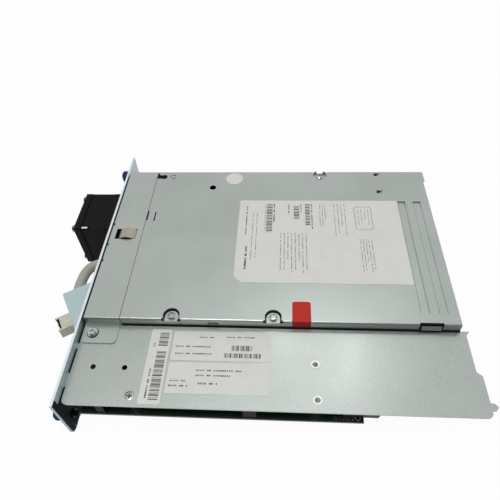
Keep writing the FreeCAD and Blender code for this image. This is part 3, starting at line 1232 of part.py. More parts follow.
def port_insert():
    """Moulded body of the port with its two square bores."""
    top = BRACKET_TOP - BRACKET_SHEET - PORT_SHELL
    low = BRACKET_TOP - PORT_DROP - PORT_HEIGHT + PORT_SHELL
    along = (PORT_START + PORT_SHELL, PORT_START + PORT_WIDTH - PORT_SHELL)
    body = bracket_box(along, (-PORT_REACH + 0.6, BRACKET_SHEET), (low, top))
    middle = (along[0] + along[1]) / 2
    height = (low + top) / 2
    removed = []
    added = []
    for side in (-1, 1):
        centre = middle + side * (PORT_BORE + 0.7) / 2
        half = PORT_BORE / 2
        depth = (-PORT_REACH - 1, -PORT_REACH + PORT_BORE_DEPTH)
        removed.append(bracket_box((centre - half, centre + half), depth, (height - half, top + 1)))
        base = bracket_point(centre, -PORT_REACH + 1.6, height)
        added.append(rod(0.62, base, PORT_BORE_DEPTH - 1.5, BRACKET_INWARD))
    return fuse([cut(body, removed)] + added)


def cable_boot():
    """Moulded block behind the port; the cable enters it from its far side."""
    end = CABLE_ROUTE[-1]
    middle = Vector(end[0] - BRACKET_CORNER[0], end[1] - BRACKET_CORNER[1], 0)
    along = middle.dot(BRACKET_ALONG)
    inward = middle.dot(BRACKET_INWARD)
    start = BOOT_DEPTH * 0.2 + BRACKET_SHEET
    height = end[2]
    half = CABLE_R + 0.6
    return bracket_box((along, along + BOOT_LENGTH), (start, inward + half), (height - half, height + half))


def cable_path(points):
    """Straight runs joined by tangent arcs; each arc takes 0.45 of its shorter run."""
    nodes = [Vector(*point) for point in points]
    edges = []
    radii = []
    start = nodes[0]
    for before, here, after in zip(nodes, nodes[1:], nodes[2:]):
        come = (here - before).normalize()
        leave = (after - here).normalize()
        turn = come.getAngle(leave)
        if turn < 1e-4:
            continue
        trim = 0.45 * min((here - before).Length, (after - here).Length)
        radius = trim / math.tan(turn / 2)
        radii.append(radius)
        first = here - come * trim
        last = here + leave * trim
        middle_way = (leave - come).normalize()
        middle = here + middle_way * (radius / math.cos(turn / 2) - radius)
        edges.append(Part.LineSegment(start, first).toShape())
        edges.append(Part.Arc(first, middle, last).toShape())
        start = last
    edges.append(Part.LineSegment(start, nodes[-1]).toShape())
    return Part.Wire(edges), radii


def bridge_cable():
    """Round jacketed cable from the drive's plug through the panel to the port."""
    path, radii = cable_path(CABLE_ROUTE)
    print("cable arc radii", [round(radius, 1) for radius in radii], "length", round(path.Length, 1))
    start = Vector(*CABLE_ROUTE[0])
    direction = (Vector(*CABLE_ROUTE[1]) - start).normalize()
    circle = Part.Wire(Part.makeCircle(CABLE_R, start, direction))
    tube = path.makePipeShell([circle], True, True)
    ratio = tube.Volume / (math.pi * CABLE_R ** 2 * path.Length)
    print("cable volume ratio", round(ratio, 4))
    return tube


def cable_grommet():
    """Rubber grommet round the cable in the rear panel."""
    _, y, z = CABLE_ROUTE[0]
    forward = Vector(1, 0, 0)
    centre = Vector(PANEL_BACK - GROMMET_LIP, y, z)
    neck = rod(CABLE_R + GROMMET_WALL, centre, PANEL_SHEET + 2 * GROMMET_LIP, forward)
    lips = [rod(CABLE_R + 2 * GROMMET_WALL, Vector(x, y, z), GROMMET_LIP, forward)
            for x in (PANEL_BACK - GROMMET_LIP, PANEL_X)]
    bore = rod(CABLE_R, centre - forward, PANEL_SHEET + 2 * GROMMET_LIP + 2, forward)
    return cut(fuse([neck] + lips), [bore])


def cable_plug():
    """Moulded plug on the drive's rear connector; the cable leaves it straight."""
    x, y, z = CABLE_ROUTE[0]
    half = PLUG_SIZE / 2
    body = box((x, SEAM_X - 1.0), (y - half, y + half), (z - half, z + half))
    return round_edges(body, 1.5, lambda e: is_along(e, Vector(1, 0, 0)))


def drive_connector():
    """Drive's rear connector: a socket housing in the chassis wall."""
    span_y, span_z = connector_block_span()
    body = box((SEAM_X - 1.0, SEAM_X + CHASSIS_WALL + 3.0), span_y, span_z)
    return body


# ---- drive mechanism --------------------------------------------------------------------------------
def mouth_frame():
    """Moulded frame in the drive's nose with a flared cartridge mouth and door bearings."""
    rear = NOSE_X - FRAME_DEPTH
    side = INNER_Y - FRAME_SIDE_GAP
    outer = box((rear, NOSE_X), (-side, side), (CHASSIS_FLOOR, ROOF_Z))
    half = MOUTH_WIDTH / 2
    mouth = box((rear - 1, NOSE_X + 1), (-half, half), (MOUTH_FLOOR, MOUTH_TOP))
    rims = []
    for x, extra, rise in ((NOSE_X - MOUTH_DEPTH, 0.0, 0.0), (NOSE_X, FRAME_FLARE, FRAME_TOP_FLARE)):
        reach = half + extra
        low, high = MOUTH_FLOOR - extra, MOUTH_TOP + rise
        rims.append(outline([(x, -reach, low), (x, reach, low), (x, reach, high), (x, -reach, high)]))
    flare = Part.makeLoft(rims, True)
    axis = door_axis()
    recess_half = half + DOOR_GAP
    sweep = rod(DOOR_SHEET + DOOR_GAP + 0.8, Vector(axis.x, -half, axis.z), MOUTH_WIDTH, Vector(0, 1, 0))
    back = box((rear - 1, axis.x), (-half, half), (MOUTH_TOP - 1, axis.z + DOOR_SHEET + DOOR_GAP + 0.8))
    pins = rod(DOOR_PIN_R + PIN_PLAY, Vector(axis.x, -recess_half - DOOR_PIN_LENGTH, axis.z),
               2 * (recess_half + DOOR_PIN_LENGTH), Vector(0, 1, 0))
    removed = [mouth, flare, sweep, back, pins]
    groove_x = NOSE_X - GROOVE_2_FROM_NOSE
    reach = GROOVE_WIDTH / 2 + COVER_SHEET + RAIL_GAP
    groove_low = DRIVE_HEIGHT - GROOVE_DEPTH - COVER_SHEET - RAIL_GAP
    removed.append(box((groove_x - reach, groove_x + reach), (NEAR_Y, FAR_Y), (groove_low, DRIVE_HEIGHT)))
    return cut(outer, removed)


def door_axis():
    """Point on the door's hinge axis, which runs along Y."""
    return Vector(NOSE_X - DOOR_SETBACK, 0, MOUTH_TOP + DOOR_PIN_R + DOOR_GAP)


def cartridge_door():
    """Flap that hangs in the mouth on two end pins and swings inwards."""
    axis = door_axis()
    half = MOUTH_WIDTH / 2 - DOOR_SIDE_GAP
    low = MOUTH_FLOOR + DOOR_GAP
    t = DOOR_SHEET / 2
    leaf = box((axis.x - t, axis.x + t), (-half, half), (low, axis.z))
    leaf = round_edges(leaf, 0.6, lambda e: is_along(e, Vector(0, 1, 0)) and e.CenterOfMass.z < low + 0.1)
    barrel = rod(DOOR_PIN_R + 0.5, Vector(axis.x, -half, axis.z), 2 * half, Vector(0, 1, 0))
    pin_half = MOUTH_WIDTH / 2 + DOOR_PIN_LENGTH
    pins = rod(DOOR_PIN_R, Vector(axis.x, -pin_half, axis.z), 2 * pin_half, Vector(0, 1, 0))
    ribs = []
    for y in (-half + 8, 0, half - 8):
        ribs.append(box((axis.x - t - 0.8, axis.x - t), (y - 0.6, y + 0.6), (low + 2, axis.z - 1.5)))
    return fuse([leaf, barrel, pins] + ribs)


def involute(angle):
    """Involute function of a pressure angle."""
    return math.tan(angle) - angle


def involute_gear(teeth, thickness, bore_r):
    """Spur gear centred on the origin: involute flanks, root arcs drawn as short chords."""
    pitch_r = GEAR_MODULE * teeth / 2
    base_r = pitch_r * math.cos(PRESSURE_ANGLE)
    tip_r = pitch_r + ADDENDUM * GEAR_MODULE
    root_r = pitch_r - DEDENDUM * GEAR_MODULE
    half_tooth = (math.pi * GEAR_MODULE / 2 - TOOTH_BACKLASH) / 2 / pitch_r
    points = []
    for tooth in range(teeth):
        middle = 2 * math.pi * tooth / teeth
        flank = []
        for step in range(FLANK_STEPS + 1):
            radius = max(base_r, root_r) + (tip_r - max(base_r, root_r)) * step / FLANK_STEPS
            pressure = math.acos(min(1.0, base_r / radius))
            flank.append((radius, half_tooth + involute(PRESSURE_ANGLE) - involute(pressure)))
        flank = [(root_r, flank[0][1])] + flank
        for radius, offset in flank:
            points.append((radius * math.cos(middle - offset), radius * math.sin(middle - offset)))
        for radius, offset in reversed(flank):
            points.append((radius * math.cos(middle + offset), radius * math.sin(middle + offset)))
    body = plate(points, 0, thickness)
    return body.cut(rod(bore_r, Vector(0, 0, -1), thickness + 2))


def gear_phase(teeth, mesh_angle, tooth_there):
    """Turn in degrees that puts a tooth (or a gap) of a gear at an angle."""
    pitch = 360.0 / teeth
    return mesh_angle + (0.0 if tooth_there else pitch / 2)


def rack_points():
    """Outline of the carrier's rack: straight 20 degree flanks along X."""
    pitch = math.pi * GEAR_MODULE
    half = (pitch / 2 - TOOTH_BACKLASH) / 2
    slope = math.tan(PRESSURE_ANGLE)
    tip_y = RACK_PITCH_Y + ADDENDUM * GEAR_MODULE
    root_y = RACK_PITCH_Y - DEDENDUM * GEAR_MODULE
    count = int((CARRIER_TRAVEL + 4 * pitch) / pitch)
    points = []
    first = GEAR_X - (count - 2) * pitch
    for index in range(count):
        x = first + index * pitch
        root = half + slope * (RACK_PITCH_Y - root_y)
        tip = half - slope * (tip_y - RACK_PITCH_Y)
        points += [(x - root, root_y), (x - tip, tip_y), (x + tip, tip_y), (x + root, root_y)]
    back = CARRIER_WIDTH / 2 - CARRIER_SHEET
    return points + [(points[-1][0], back), (points[0][0], back)]


def cartridge_carrier():
    """Open channel that holds the cartridge, with a rack on its far side."""
    half = CARRIER_WIDTH / 2
    high = CARRIER_LOW + CARRIER_WALL_HEIGHT
    t = CARRIER_SHEET
    inner = half - t
    section = [(-half, CARRIER_LOW), (half, CARRIER_LOW), (half, high), (inner, high), (inner, MOUTH_FLOOR),
               (-inner, MOUTH_FLOOR), (-inner, high), (-half, high)]
    front = CARRIER_REAR + CARRIER_LENGTH
    channel = along_x(section, CARRIER_REAR, front)
    stop_y = (half - CARRIER_STOP_WIDTH, inner)
    stop = box((CARRIER_REAR, CARRIER_REAR + t), stop_y, (MOUTH_FLOOR, high - CARRIER_STOP_DROP))
    floor = (CARRIER_LOW - 1, MOUTH_FLOOR + 1)
    slot_width = 2 * (CLUTCH_TOOTH_RING_R + CLUTCH_CARRIER_GAP)
    slot = stadium((HUB_X - CARRIER_TRAVEL / 2, 0), slot_width + CARRIER_TRAVEL, slot_width, *floor)
    windows = []
    for share in CARRIER_WINDOW_ALONG:
        for side in (-1, 1):
            place = (CARRIER_REAR + CARRIER_LENGTH * share, side * half * CARRIER_WINDOW_ACROSS)
            windows.append(stadium(place, *CARRIER_WINDOW, *floor))
    rack = plate(rack_points(), RACK_LOW, RACK_LOW + GEAR_FACE)
    return cut(fuse([channel, stop, rack]), [slot] + windows)


def carrier_rails():
    """Two fixed rails on the chassis floor that carry the sliding carrier."""
    front = CARRIER_REAR + CARRIER_LENGTH
    rails = []
    span = (CARRIER_REAR + RAIL_HALF_WIDTH, front + CARRIER_TRAVEL - RAIL_HALF_WIDTH)
    for side in (-1, 1):
        y = side * (CARRIER_WIDTH / 2 - RAIL_INSET)
        width = (y - RAIL_HALF_WIDTH, y + RAIL_HALF_WIDTH)
        rails.append(box(span, width, (CHASSIS_FLOOR, CARRIER_LOW - RAIL_GAP)))
    return Part.makeCompound(rails)


def pinion():
    """Long pinion: its lower half drives the rack, its upper half meets the idler."""
    gear = involute_gear(PINION_TEETH, PINION_STEP + GEAR_FACE, GEAR_BORE_R + PIN_PLAY)
    turn = gear_phase(PINION_TEETH, -90, False)
    return placed(gear, Vector(GEAR_X, GEAR_Y, RACK_LOW), Vector(0, 0, 1), turn)


def idler_place():
    """Centre of the idler, behind the pinion."""
    return Vector(GEAR_X - 2 * PINION_PITCH_R, GEAR_Y, RACK_LOW + PINION_STEP)


def idler():
    """Idler between the long pinion and the motor's gear."""
    gear = involute_gear(PINION_TEETH, GEAR_FACE, GEAR_BORE_R + PIN_PLAY)
    pinion_turn = gear_phase(PINION_TEETH, -90, False)
    pitch = 360.0 / PINION_TEETH
    at_idler = (180.0 - pinion_turn) / pitch
    tooth_offset = (at_idler - round(at_idler)) * pitch
    turn = pitch / 2 + tooth_offset
    return placed(gear, idler_place(), Vector(0, 0, 1), turn), turn


def motor_gear_place():
    """Centre of the loader motor's gear, behind the idler."""
    return idler_place() - Vector(PINION_PITCH_R + MOTOR_PITCH_R, 0, 0)


def motor_gear(idler_turn):
    """Small gear on the loader motor's shaft."""
    gear = involute_gear(MOTOR_TEETH, GEAR_FACE, LOADER_SHAFT_R + PIN_PLAY)
    pitch = 360.0 / PINION_TEETH
    at_motor = (180.0 - idler_turn) / pitch
    offset = (at_motor - round(at_motor)) * pitch * PINION_TEETH / MOTOR_TEETH
    turn = 180.0 / MOTOR_TEETH + offset
    return placed(gear, motor_gear_place(), Vector(0, 0, 1), turn)


def gear_pins():
    """Fixed pins on the chassis floor for the pinion and the idler."""
    pins = []
    top = RACK_LOW + PINION_STEP + GEAR_FACE + 1.5
    for place, low in ((Vector(GEAR_X, GEAR_Y, 0), RACK_LOW), (idler_place(), RACK_LOW + PINION_STEP)):
        foot = Vector(place.x, place.y, CHASSIS_FLOOR)
        pin = rod(GEAR_BORE_R, foot, top - CHASSIS_FLOOR)
        collar = rod(GEAR_BORE_R + 1.0, foot, low - GEAR_LIFT - CHASSIS_FLOOR)
        pins.append(fuse([pin, collar]))
    return Part.makeCompound(pins)


def loader_motor():
    """Small can motor on the chassis floor with its shaft up into its gear."""
    place = motor_gear_place()
    foot = Vector(place.x, place.y, CHASSIS_FLOOR)
    nose_top = RACK_LOW + PINION_STEP - GEAR_LIFT - CHASSIS_FLOOR
    can_top = nose_top + GEAR_LIFT - LOADER_NOSE_HEIGHT
    shaft_top = can_top + GEAR_FACE + LOADER_NOSE_R
    bevel = LOADER_MOTOR_BEVEL
    profile = [(0, 0), (LOADER_MOTOR_R, 0), (LOADER_MOTOR_R, can_top - bevel),
               (LOADER_MOTOR_R - bevel, can_top), (LOADER_NOSE_R, can_top), (LOADER_NOSE_R, nose_top),
               (LOADER_SHAFT_R, nose_top), (LOADER_SHAFT_R, shaft_top), (0, shaft_top)]
    return placed(turned(profile), foot)


def stator(place, low, high, radius):
    """Flat motor stator: a ring of wound teeth round a bearing tube."""
    centre = Vector(place.x, place.y, low)
    floor, roof = low + STATOR_BASE, high - STATOR_BASE
    half = STATOR_TOOTH_WIDTH / 2
    tube = rod(SPINDLE_R + STATOR_TUBE, centre, high - low)
    arm = (place.x + SPINDLE_R, place.x + radius)
    tooth = box(arm, (place.y - half, place.y + half), (floor, roof))
    shoe = rod(radius, Vector(place.x, place.y, floor), roof - floor)
    shoe = shoe.cut(rod(radius - STATOR_SHOE, centre, high - low))
    teeth = ring_of(tooth, STATOR_TEETH, Vector(place.x, place.y, 0))
    bore = rod(SPINDLE_R + PIN_PLAY, centre - Vector(0, 0, 1), high - low + 2)
    base = rod(radius + STATOR_TUBE, centre, STATOR_BASE)
    return cut(fuse([base, tube, shoe] + teeth), [bore])


def takeup_stator():
    """Stator under the take-up reel."""
    return stator(Vector(REEL_X, 0, 0), CHASSIS_FLOOR, CHASSIS_FLOOR + STATOR_HEIGHT, STATOR_R)


def supply_stator():
    """Thin stator under the supply clutch."""
    return stator(Vector(HUB_X, 0, 0), CHASSIS_FLOOR, CLUTCH_LOW - 1.0, CLUTCH_R - 3)


def takeup_reel():
    """Take-up reel: rotor cup, hub and two flanges with round windows."""
    centre = Vector(REEL_X, 0, REEL_LOW)
    low_flange = rod(REEL_FLANGE_R, centre, REEL_FLANGE)
    hub = rod(REEL_HUB_R, centre, REEL_FLANGE * 2 + REEL_GAP_HEIGHT)
    high_flange = rod(REEL_FLANGE_R, centre + Vector(0, 0, REEL_FLANGE + REEL_GAP_HEIGHT), REEL_FLANGE)
    rotor_low = CHASSIS_FLOOR + STATOR_BASE + ROTOR_GAP
    rotor = rod(STATOR_R + ROTOR_WALL, Vector(REEL_X, 0, rotor_low), REEL_LOW - rotor_low)
    hollow_high = CHASSIS_FLOOR + STATOR_HEIGHT + ROTOR_GAP
    hollow = rod(STATOR_R + ROTOR_GAP, Vector(REEL_X, 0, rotor_low - 1), hollow_high - rotor_low + 1)
    spindle = rod(SPINDLE_R, Vector(REEL_X, 0, CHASSIS_FLOOR + GEAR_LIFT), REEL_LOW)
    window_place = Vector(REEL_X + (REEL_FLANGE_R + REEL_HUB_R) / 2 + 2, 0, REEL_LOW - 1)
    window = rod(REEL_WINDOW_R, window_place, REEL_GAP_HEIGHT + 2 * REEL_FLANGE + 2)
    recess_low = centre + Vector(0, 0, REEL_GAP_HEIGHT - SPINDLE_R)
    recess = rod(REEL_HUB_R - REEL_WINDOW_R, recess_low, REEL_GAP_HEIGHT)
    cup = fuse([rotor, low_flange, hub, high_flange])
    cup = cut(cup, [hollow, recess] + ring_of(window, REEL_WINDOWS, centre))
    return fuse([cup, spindle])


def supply_clutch():
    """Rotor with a ring of face teeth that lifts into the cartridge's hub."""
    centre = Vector(HUB_X, 0, CLUTCH_LOW)
    disc = rod(CLUTCH_R, centre, CLUTCH_SHEET)
    on_disc = centre + Vector(0, 0, CLUTCH_SHEET)
    boss = rod(CLUTCH_TOOTH_RING_R, on_disc, CLUTCH_TOOTH_HEIGHT)
    bowl = rod(CLUTCH_TOOTH_RING_R - CLUTCH_RING_WALL, on_disc, CLUTCH_TOOTH_HEIGHT + 1)
    top = CLUTCH_LOW + CLUTCH_SHEET + CLUTCH_TOOTH_HEIGHT
    rim = HUB_X + CLUTCH_TOOTH_RING_R
    half = CLUTCH_GAP_WIDTH / 2
    gap = box((rim - CLUTCH_RING_WALL - 1, rim + 1), (-half, half), (top - CLUTCH_GAP_DEPTH, top + 1))
    spindle = rod(SPINDLE_R, Vector(HUB_X, 0, CHASSIS_FLOOR + GEAR_LIFT), CLUTCH_LOW - CHASSIS_FLOOR)
    return fuse([cut(fuse([disc, boss]), [bowl] + ring_of(gap, CLUTCH_TEETH, centre)), spindle])


def guide_roller(place):
    """Flanged tape roller with a running bore."""
    bore = ROLLER_PIN_R + ROLLER_PLAY
    high = ROLLER_HEIGHT - ROLLER_FLANGE
    rim = ROLLER_FLANGE_R
    profile = [(bore, 0), (rim, 0), (rim, ROLLER_FLANGE), (ROLLER_R, ROLLER_FLANGE), (ROLLER_R, high),
               (rim, high), (rim, ROLLER_HEIGHT), (bore, ROLLER_HEIGHT)]
    return placed(turned(profile), Vector(*place, ROLLER_LOW))


def roller_pins():
    """Fixed pins and their feet, one under each guide roller."""
    shoulder = ROLLER_LOW - GEAR_LIFT - CHASSIS_FLOOR
    top = ROLLER_LOW + ROLLER_HEIGHT + ROLLER_PIN_OVER - CHASSIS_FLOOR
    foot_r = ROLLER_PIN_R + ROLLER_FOOT_WALL
    profile = [(0, 0), (foot_r, 0), (foot_r, shoulder), (ROLLER_PIN_R, shoulder), (ROLLER_PIN_R, top),
               (0, top)]
    feet = [Vector(x, y, CHASSIS_FLOOR) for x, y in ROLLER_PLACES]
    return Part.makeCompound([placed(turned(profile), foot) for foot in feet])


def head_rod_places():
    """Axes of the two rods that carry the tape head."""
    x, y = HEAD_PLACE
    half = HEAD_LENGTH / 2 - HEAD_ROD_INSET
    return [(x + side * half, y - HEAD_ROD_SETBACK) for side in (-1, 1)]


def head_post():
    """Fixed guide block and rods of the head actuator."""
    x, y = HEAD_PLACE
    overhang, front, back, height = HEAD_BASE
    half = HEAD_LENGTH / 2 + overhang
    base = box((x - half, x + half), (y - back, y - front), (CHASSIS_FLOOR, CHASSIS_FLOOR + height))
    top = ROLLER_LOW + HEAD_HEIGHT + 2 * HEAD_STROKE + 1
    feet = [Vector(x, y, CHASSIS_FLOOR) for x, y in head_rod_places()]
    return fuse([base] + [rod(HEAD_ROD_R, foot, top - CHASSIS_FLOOR) for foot in feet])


def tape_head():
    """Head block with a crowned face, sliding on the actuator's rods."""
    x, y = HEAD_PLACE
    low = ROLLER_LOW - 0.5
    span = (x - HEAD_LENGTH / 2, x + HEAD_LENGTH / 2)
    body = box(span, (y - HEAD_DEPTH, y), (low, low + HEAD_HEIGHT))
    crown = rod(HEAD_LENGTH * HEAD_CROWN_SHARE, Vector(x, y - HEAD_CROWN_INSET, low + 1), HEAD_HEIGHT - 2)
    bores = []
    for place in head_rod_places():
        bores.append(rod(HEAD_ROD_R + PIN_PLAY, Vector(*place, low - 1), HEAD_HEIGHT + 2))
    return cut(fuse([body, crown]), bores)


def main_board():
    """Drive's own circuit board on the chassis floor, cut clear of the mechanism."""
    low = CHASSIS_FLOOR + MAIN_BOARD_LIFT
    top = low + BOARD_SHEET
    x0, x1 = SEAM_X + 2 * CHASSIS_WALL, CARRIER_REAR - 2 * RAIL_GAP - MAIN_BOARD_MARGIN
    y0, y1 = NEAR_Y + MAIN_BOARD_NEAR, INNER_Y - MAIN_BOARD_MARGIN
    sheet = box((x0, x1), (y0, y1), (low, top))
    sheet = cut(sheet, [rod(STATOR_R + MAIN_BOARD_MARGIN, Vector(REEL_X, 0, low - 1), BOARD_SHEET + 2)])
    pieces = [sheet]
    for x in (x0 + MAIN_BOARD_MARGIN, x1 - MAIN_BOARD_MARGIN):
        for y in (y0 + MAIN_BOARD_MARGIN, y1 - MAIN_BOARD_MARGIN):
            pieces.append(rod(MAIN_BOARD_FOOT_R, Vector(x, y, CHASSIS_FLOOR), MAIN_BOARD_LIFT))
    for along, across, size in MAIN_CHIPS:
        x, y = x0 + along * (x1 - x0), y0 + across * (y1 - y0)
        pieces.append(box((x, x + size), (y - size / 2, y + size / 2), (top, top + MAIN_CHIP_HEIGHT)))
    return fuse(pieces)


def build():
    """Every node of the product, by name."""
    idler_gear, idler_turn = idler()
    nodes = {
        "top_cover": top_cover(),
        "drive_chassis": drive_chassis(),
        "cover_screws": cover_screws(),
        "mouth_frame": mouth_frame(),
        "cartridge_door": cartridge_door(),
        "cartridge_carrier": cartridge_carrier(),
        "carrier_rails": carrier_rails(),
        "rack_pinion": pinion(),
        "loader_idler": idler_gear,
        "loader_motor_gear": motor_gear(idler_turn),
        "gear_pins": gear_pins(),
        "loader_motor": loader_motor(),
        "takeup_reel": takeup_reel(),
        "takeup_stator": takeup_stator(),
        "supply_clutch": supply_clutch(),
        "supply_stator": supply_stator(),
        "roller_pins": roller_pins(),
        "tape_head": tape_head(),
        "head_post": head_post(),
        "main_board": main_board(),
        "drive_connector": drive_connector(),
        "side_plate": side_plate(),
        "side_screws": side_screws(),
        "rear_panel": rear_panel(),
        "rear_cover": rear_cover(),
        "rear_tray": rear_tray(),
        "panel_insulator": panel_insulator(),
        "panel_screws": panel_screws(),
        "tab_screw": tab_screw(),
        "spring_clip": spring_clip(),
        "interface_board": interface_board(),
        "board_standoffs": board_standoffs(),
        "board_screws": board_screws(),
        "plate_screw": plate_screw(),
        "board_chips": board_chips(),
        "board_clips": board_clips(),
        "dock_connector": dock_connector(),
        "fan_frame": fan_frame(),
        "fan_rotor": fan_rotor(),
        "fan_screws": fan_screws(),
        "fan_guard": fan_guard(),
        "thumbscrew_far": thumbscrew(KNOB_FAR),
        "thumbscrew_near": thumbscrew(KNOB_NEAR),
        "retainer_far": retainer(KNOB_FAR),
        "retainer_near": retainer(KNOB_NEAR),
        "thumbscrew_ferrules": ferrules(),
        "connector_bracket": connector_bracket(),
        "port_shell": port_shell(),
        "port_insert": port_insert(),
        "cable_boot": cable_boot(),
        "bridge_cable": bridge_cable(),
        "cable_grommet": cable_grommet(),
        "cable_plug": cable_plug(),
    }
    for index, place in enumerate(ROLLER_PLACES, start=1):
        nodes[f"guide_roller_{index}"] = guide_roller(place)
    return nodes


os.makedirs("parts", exist_ok=True)
for name, shape in build().items():
    shape.exportStep(f"parts/{name}.step")
    print(name, "solids", len(shape.Solids), "volume", round(shape.Volume, 1), "valid", shape.isValid())
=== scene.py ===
import json
import math

import bpy
import numpy as np
from mathutils import Matrix, Vector


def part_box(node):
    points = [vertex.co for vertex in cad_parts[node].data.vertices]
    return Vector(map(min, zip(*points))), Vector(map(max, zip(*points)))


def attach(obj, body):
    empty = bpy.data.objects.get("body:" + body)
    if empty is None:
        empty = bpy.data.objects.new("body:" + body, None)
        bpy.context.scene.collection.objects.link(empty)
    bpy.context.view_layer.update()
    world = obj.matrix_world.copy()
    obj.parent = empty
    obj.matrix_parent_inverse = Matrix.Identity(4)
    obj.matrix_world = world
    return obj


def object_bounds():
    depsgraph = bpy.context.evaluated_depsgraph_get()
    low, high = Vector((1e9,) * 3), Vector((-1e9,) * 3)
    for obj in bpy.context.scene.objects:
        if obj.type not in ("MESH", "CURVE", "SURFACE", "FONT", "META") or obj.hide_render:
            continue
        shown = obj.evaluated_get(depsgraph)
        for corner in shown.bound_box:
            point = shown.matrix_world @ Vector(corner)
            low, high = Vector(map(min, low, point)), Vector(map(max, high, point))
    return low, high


# A half-height tape drive on its sheet-metal library sled. Lengths are in metres, in the frame of the
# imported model: origin at the centre of the drive's bottom face, +X to the cartridge mouth, +Y away from
# the board side, +Z up. MM turns millimetres to metres; a named size without it is in millimetres.
MM = 0.001

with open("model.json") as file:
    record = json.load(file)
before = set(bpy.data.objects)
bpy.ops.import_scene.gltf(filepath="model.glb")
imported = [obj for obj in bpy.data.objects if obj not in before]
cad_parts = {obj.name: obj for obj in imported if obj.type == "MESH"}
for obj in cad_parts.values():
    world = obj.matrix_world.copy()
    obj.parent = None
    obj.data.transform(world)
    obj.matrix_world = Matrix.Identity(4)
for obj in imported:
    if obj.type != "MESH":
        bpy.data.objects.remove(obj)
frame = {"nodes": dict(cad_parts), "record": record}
CAD_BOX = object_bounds()

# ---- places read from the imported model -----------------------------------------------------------
COVER_LOW, COVER_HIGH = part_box("top_cover")
BOARD_LOW, BOARD_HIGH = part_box("interface_board")
FAN_LOW, FAN_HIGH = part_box("fan_frame")
SEAM_X = COVER_LOW.x  # where the lid meets the rear cover
NEAR_Y = COVER_LOW.y  # the lid's edge on the board side
TOP_Z = COVER_HIGH.z
PLATE_DROP = 6.84  # from the lid's top to the side plate's
PLATE_TOP = TOP_Z - PLATE_DROP * MM

# planes where one piece changes its finish, or where its painted shade or painted highlight begins
KNOB_LENGTH = 7.1  # of blue, before the shank begins
CLIP_LIT_BAND = 1.0  # zinc at the top of each clip, where light reaches it; painted shade below
EDGE_HIGHLIGHT = 0.1  # painted highlight of the cut edge, at the top of the rear panel
SCREW_RIM = 0.35  # of the plate screw's head, above its recess of painted shade
KNOB_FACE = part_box("thumbscrew_near")[0].x + KNOB_LENGTH * MM
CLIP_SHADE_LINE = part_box("board_clips")[1].z - CLIP_LIT_BAND * MM
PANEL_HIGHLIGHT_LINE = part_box("rear_panel")[1].z - EDGE_HIGHLIGHT * MM
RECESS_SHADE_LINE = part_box("plate_screw")[1].z - SCREW_RIM * MM


def on_cover(from_seam, from_near):
    """Point on the lid, in metres, from distances in millimetres off the seam and the near edge."""
    return SEAM_X + from_seam * MM, NEAR_Y + from_near * MM


def on_plate(from_seam, from_drive):
    """Point on the side plate, from millimetres off the seam and out from the drive's near side."""
    return SEAM_X + from_seam * MM, NEAR_Y - from_drive * MM


# ---- nodes ---------------------------------------------------------------------------------------
def linear(colour):
    """Linear RGBA of an sRGB hex colour."""
    channels = [int(colour[i:i + 2], 16) / 255 for i in (1, 3, 5)]
    bent = [c / 12.92 if c <= 0.04045 else ((c + 0.055) / 1.055) ** 2.4 for c in channels]
    return (*bent, 1.0)


def add(tree, kind, settings=None, **inputs):
    """Adds one node. settings are its properties; inputs are values or sockets for its inputs, which
    are named with _ for a space, or given by number as _0, _1 and so on."""
    node = tree.nodes.new(kind)
    for name, value in (settings or {}).items():
        setattr(node, name, value)
    for name, value in inputs.items():
        key = int(name[1:]) if name[1:].isdigit() else name.replace("_", " ")
        if isinstance(value, bpy.types.NodeSocket):
            tree.links.new(value, node.inputs[key])
        else:
            node.inputs[key].default_value = value
    return node


def new_material(name, **shader):
    """Empty material with one shader; its constants sit on the shader's own sockets."""
    material = bpy.data.materials.new(name)
    material.use_nodes = True
    tree = material.node_tree
    tree.nodes.clear()
    surface = add(tree, "ShaderNodeBsdfPrincipled", None, **shader)
    output = add(tree, "ShaderNodeOutputMaterial")
    tree.links.new(surface.outputs["BSDF"], output.inputs["Surface"])
    return material, tree, surface


def speckle(tree, size_mm, detail=2.0, stretch=(1, 1, 1)):
    """Pattern of soft spots about size_mm across, fixed to the piece. detail adds finer spots inside
    them; stretch above 1 packs them closer along an axis, and below 1 draws them out."""
    place = add(tree, "ShaderNodeTexCoord").outputs["Object"]
    turned = add(tree, "ShaderNodeMapping", None, Vector=place, Scale=stretch).outputs["Vector"]
    noise = add(tree, "ShaderNodeTexNoise", None, Vector=turned, Scale=1 / (size_mm * MM), Detail=detail)
    return noise.outputs["Fac"]


def tone(tree, pattern, dark, light):
    """Colour that runs from dark to light over the middle third of a pattern, where most of it lies.
    The two are hex colours, or linear ones already worked out."""
    dark, light = (linear(c) if isinstance(c, str) else c for c in (dark, light))
    share = add(tree, "ShaderNodeMapRange", None, Value=pattern, From_Min=0.35, From_Max=0.65)
    mixed = add(tree, "ShaderNodeMix", {"data_type": "RGBA"}, _0=share.outputs["Result"], _6=dark, _7=light)
    return mixed.outputs[2]


def lay(tree, surface, colour, pattern, rough, relief_mm=0.0, strength=0.5):
    """Lays a colour on a surface; a pattern sets its roughness, between the two values of rough, and
    its relief, relief_mm high."""
    tree.links.new(colour, surface.inputs["Base Color"])
    spread = add(tree, "ShaderNodeMapRange", None, Value=pattern, From_Min=0.3, From_Max=0.7,
                 To_Min=rough[0], To_Max=rough[1])
    tree.links.new(spread.outputs["Result"], surface.inputs["Roughness"])
    if relief_mm:
        bump = add(tree, "ShaderNodeBump", None, Height=pattern, Distance=relief_mm * MM, Strength=strength)
        tree.links.new(bump.outputs["Normal"], surface.inputs["Normal"])


# ---- materials -----------------------------------------------------------------------------------
ZINC_TONES = ("#B2B9B5", "#BFC6C1")
BLUE_ZINC_TONES = ("#AEC2C6", "#C0D2D6")
OXIDE_TONES = ("#121314", "#1E1D1C")


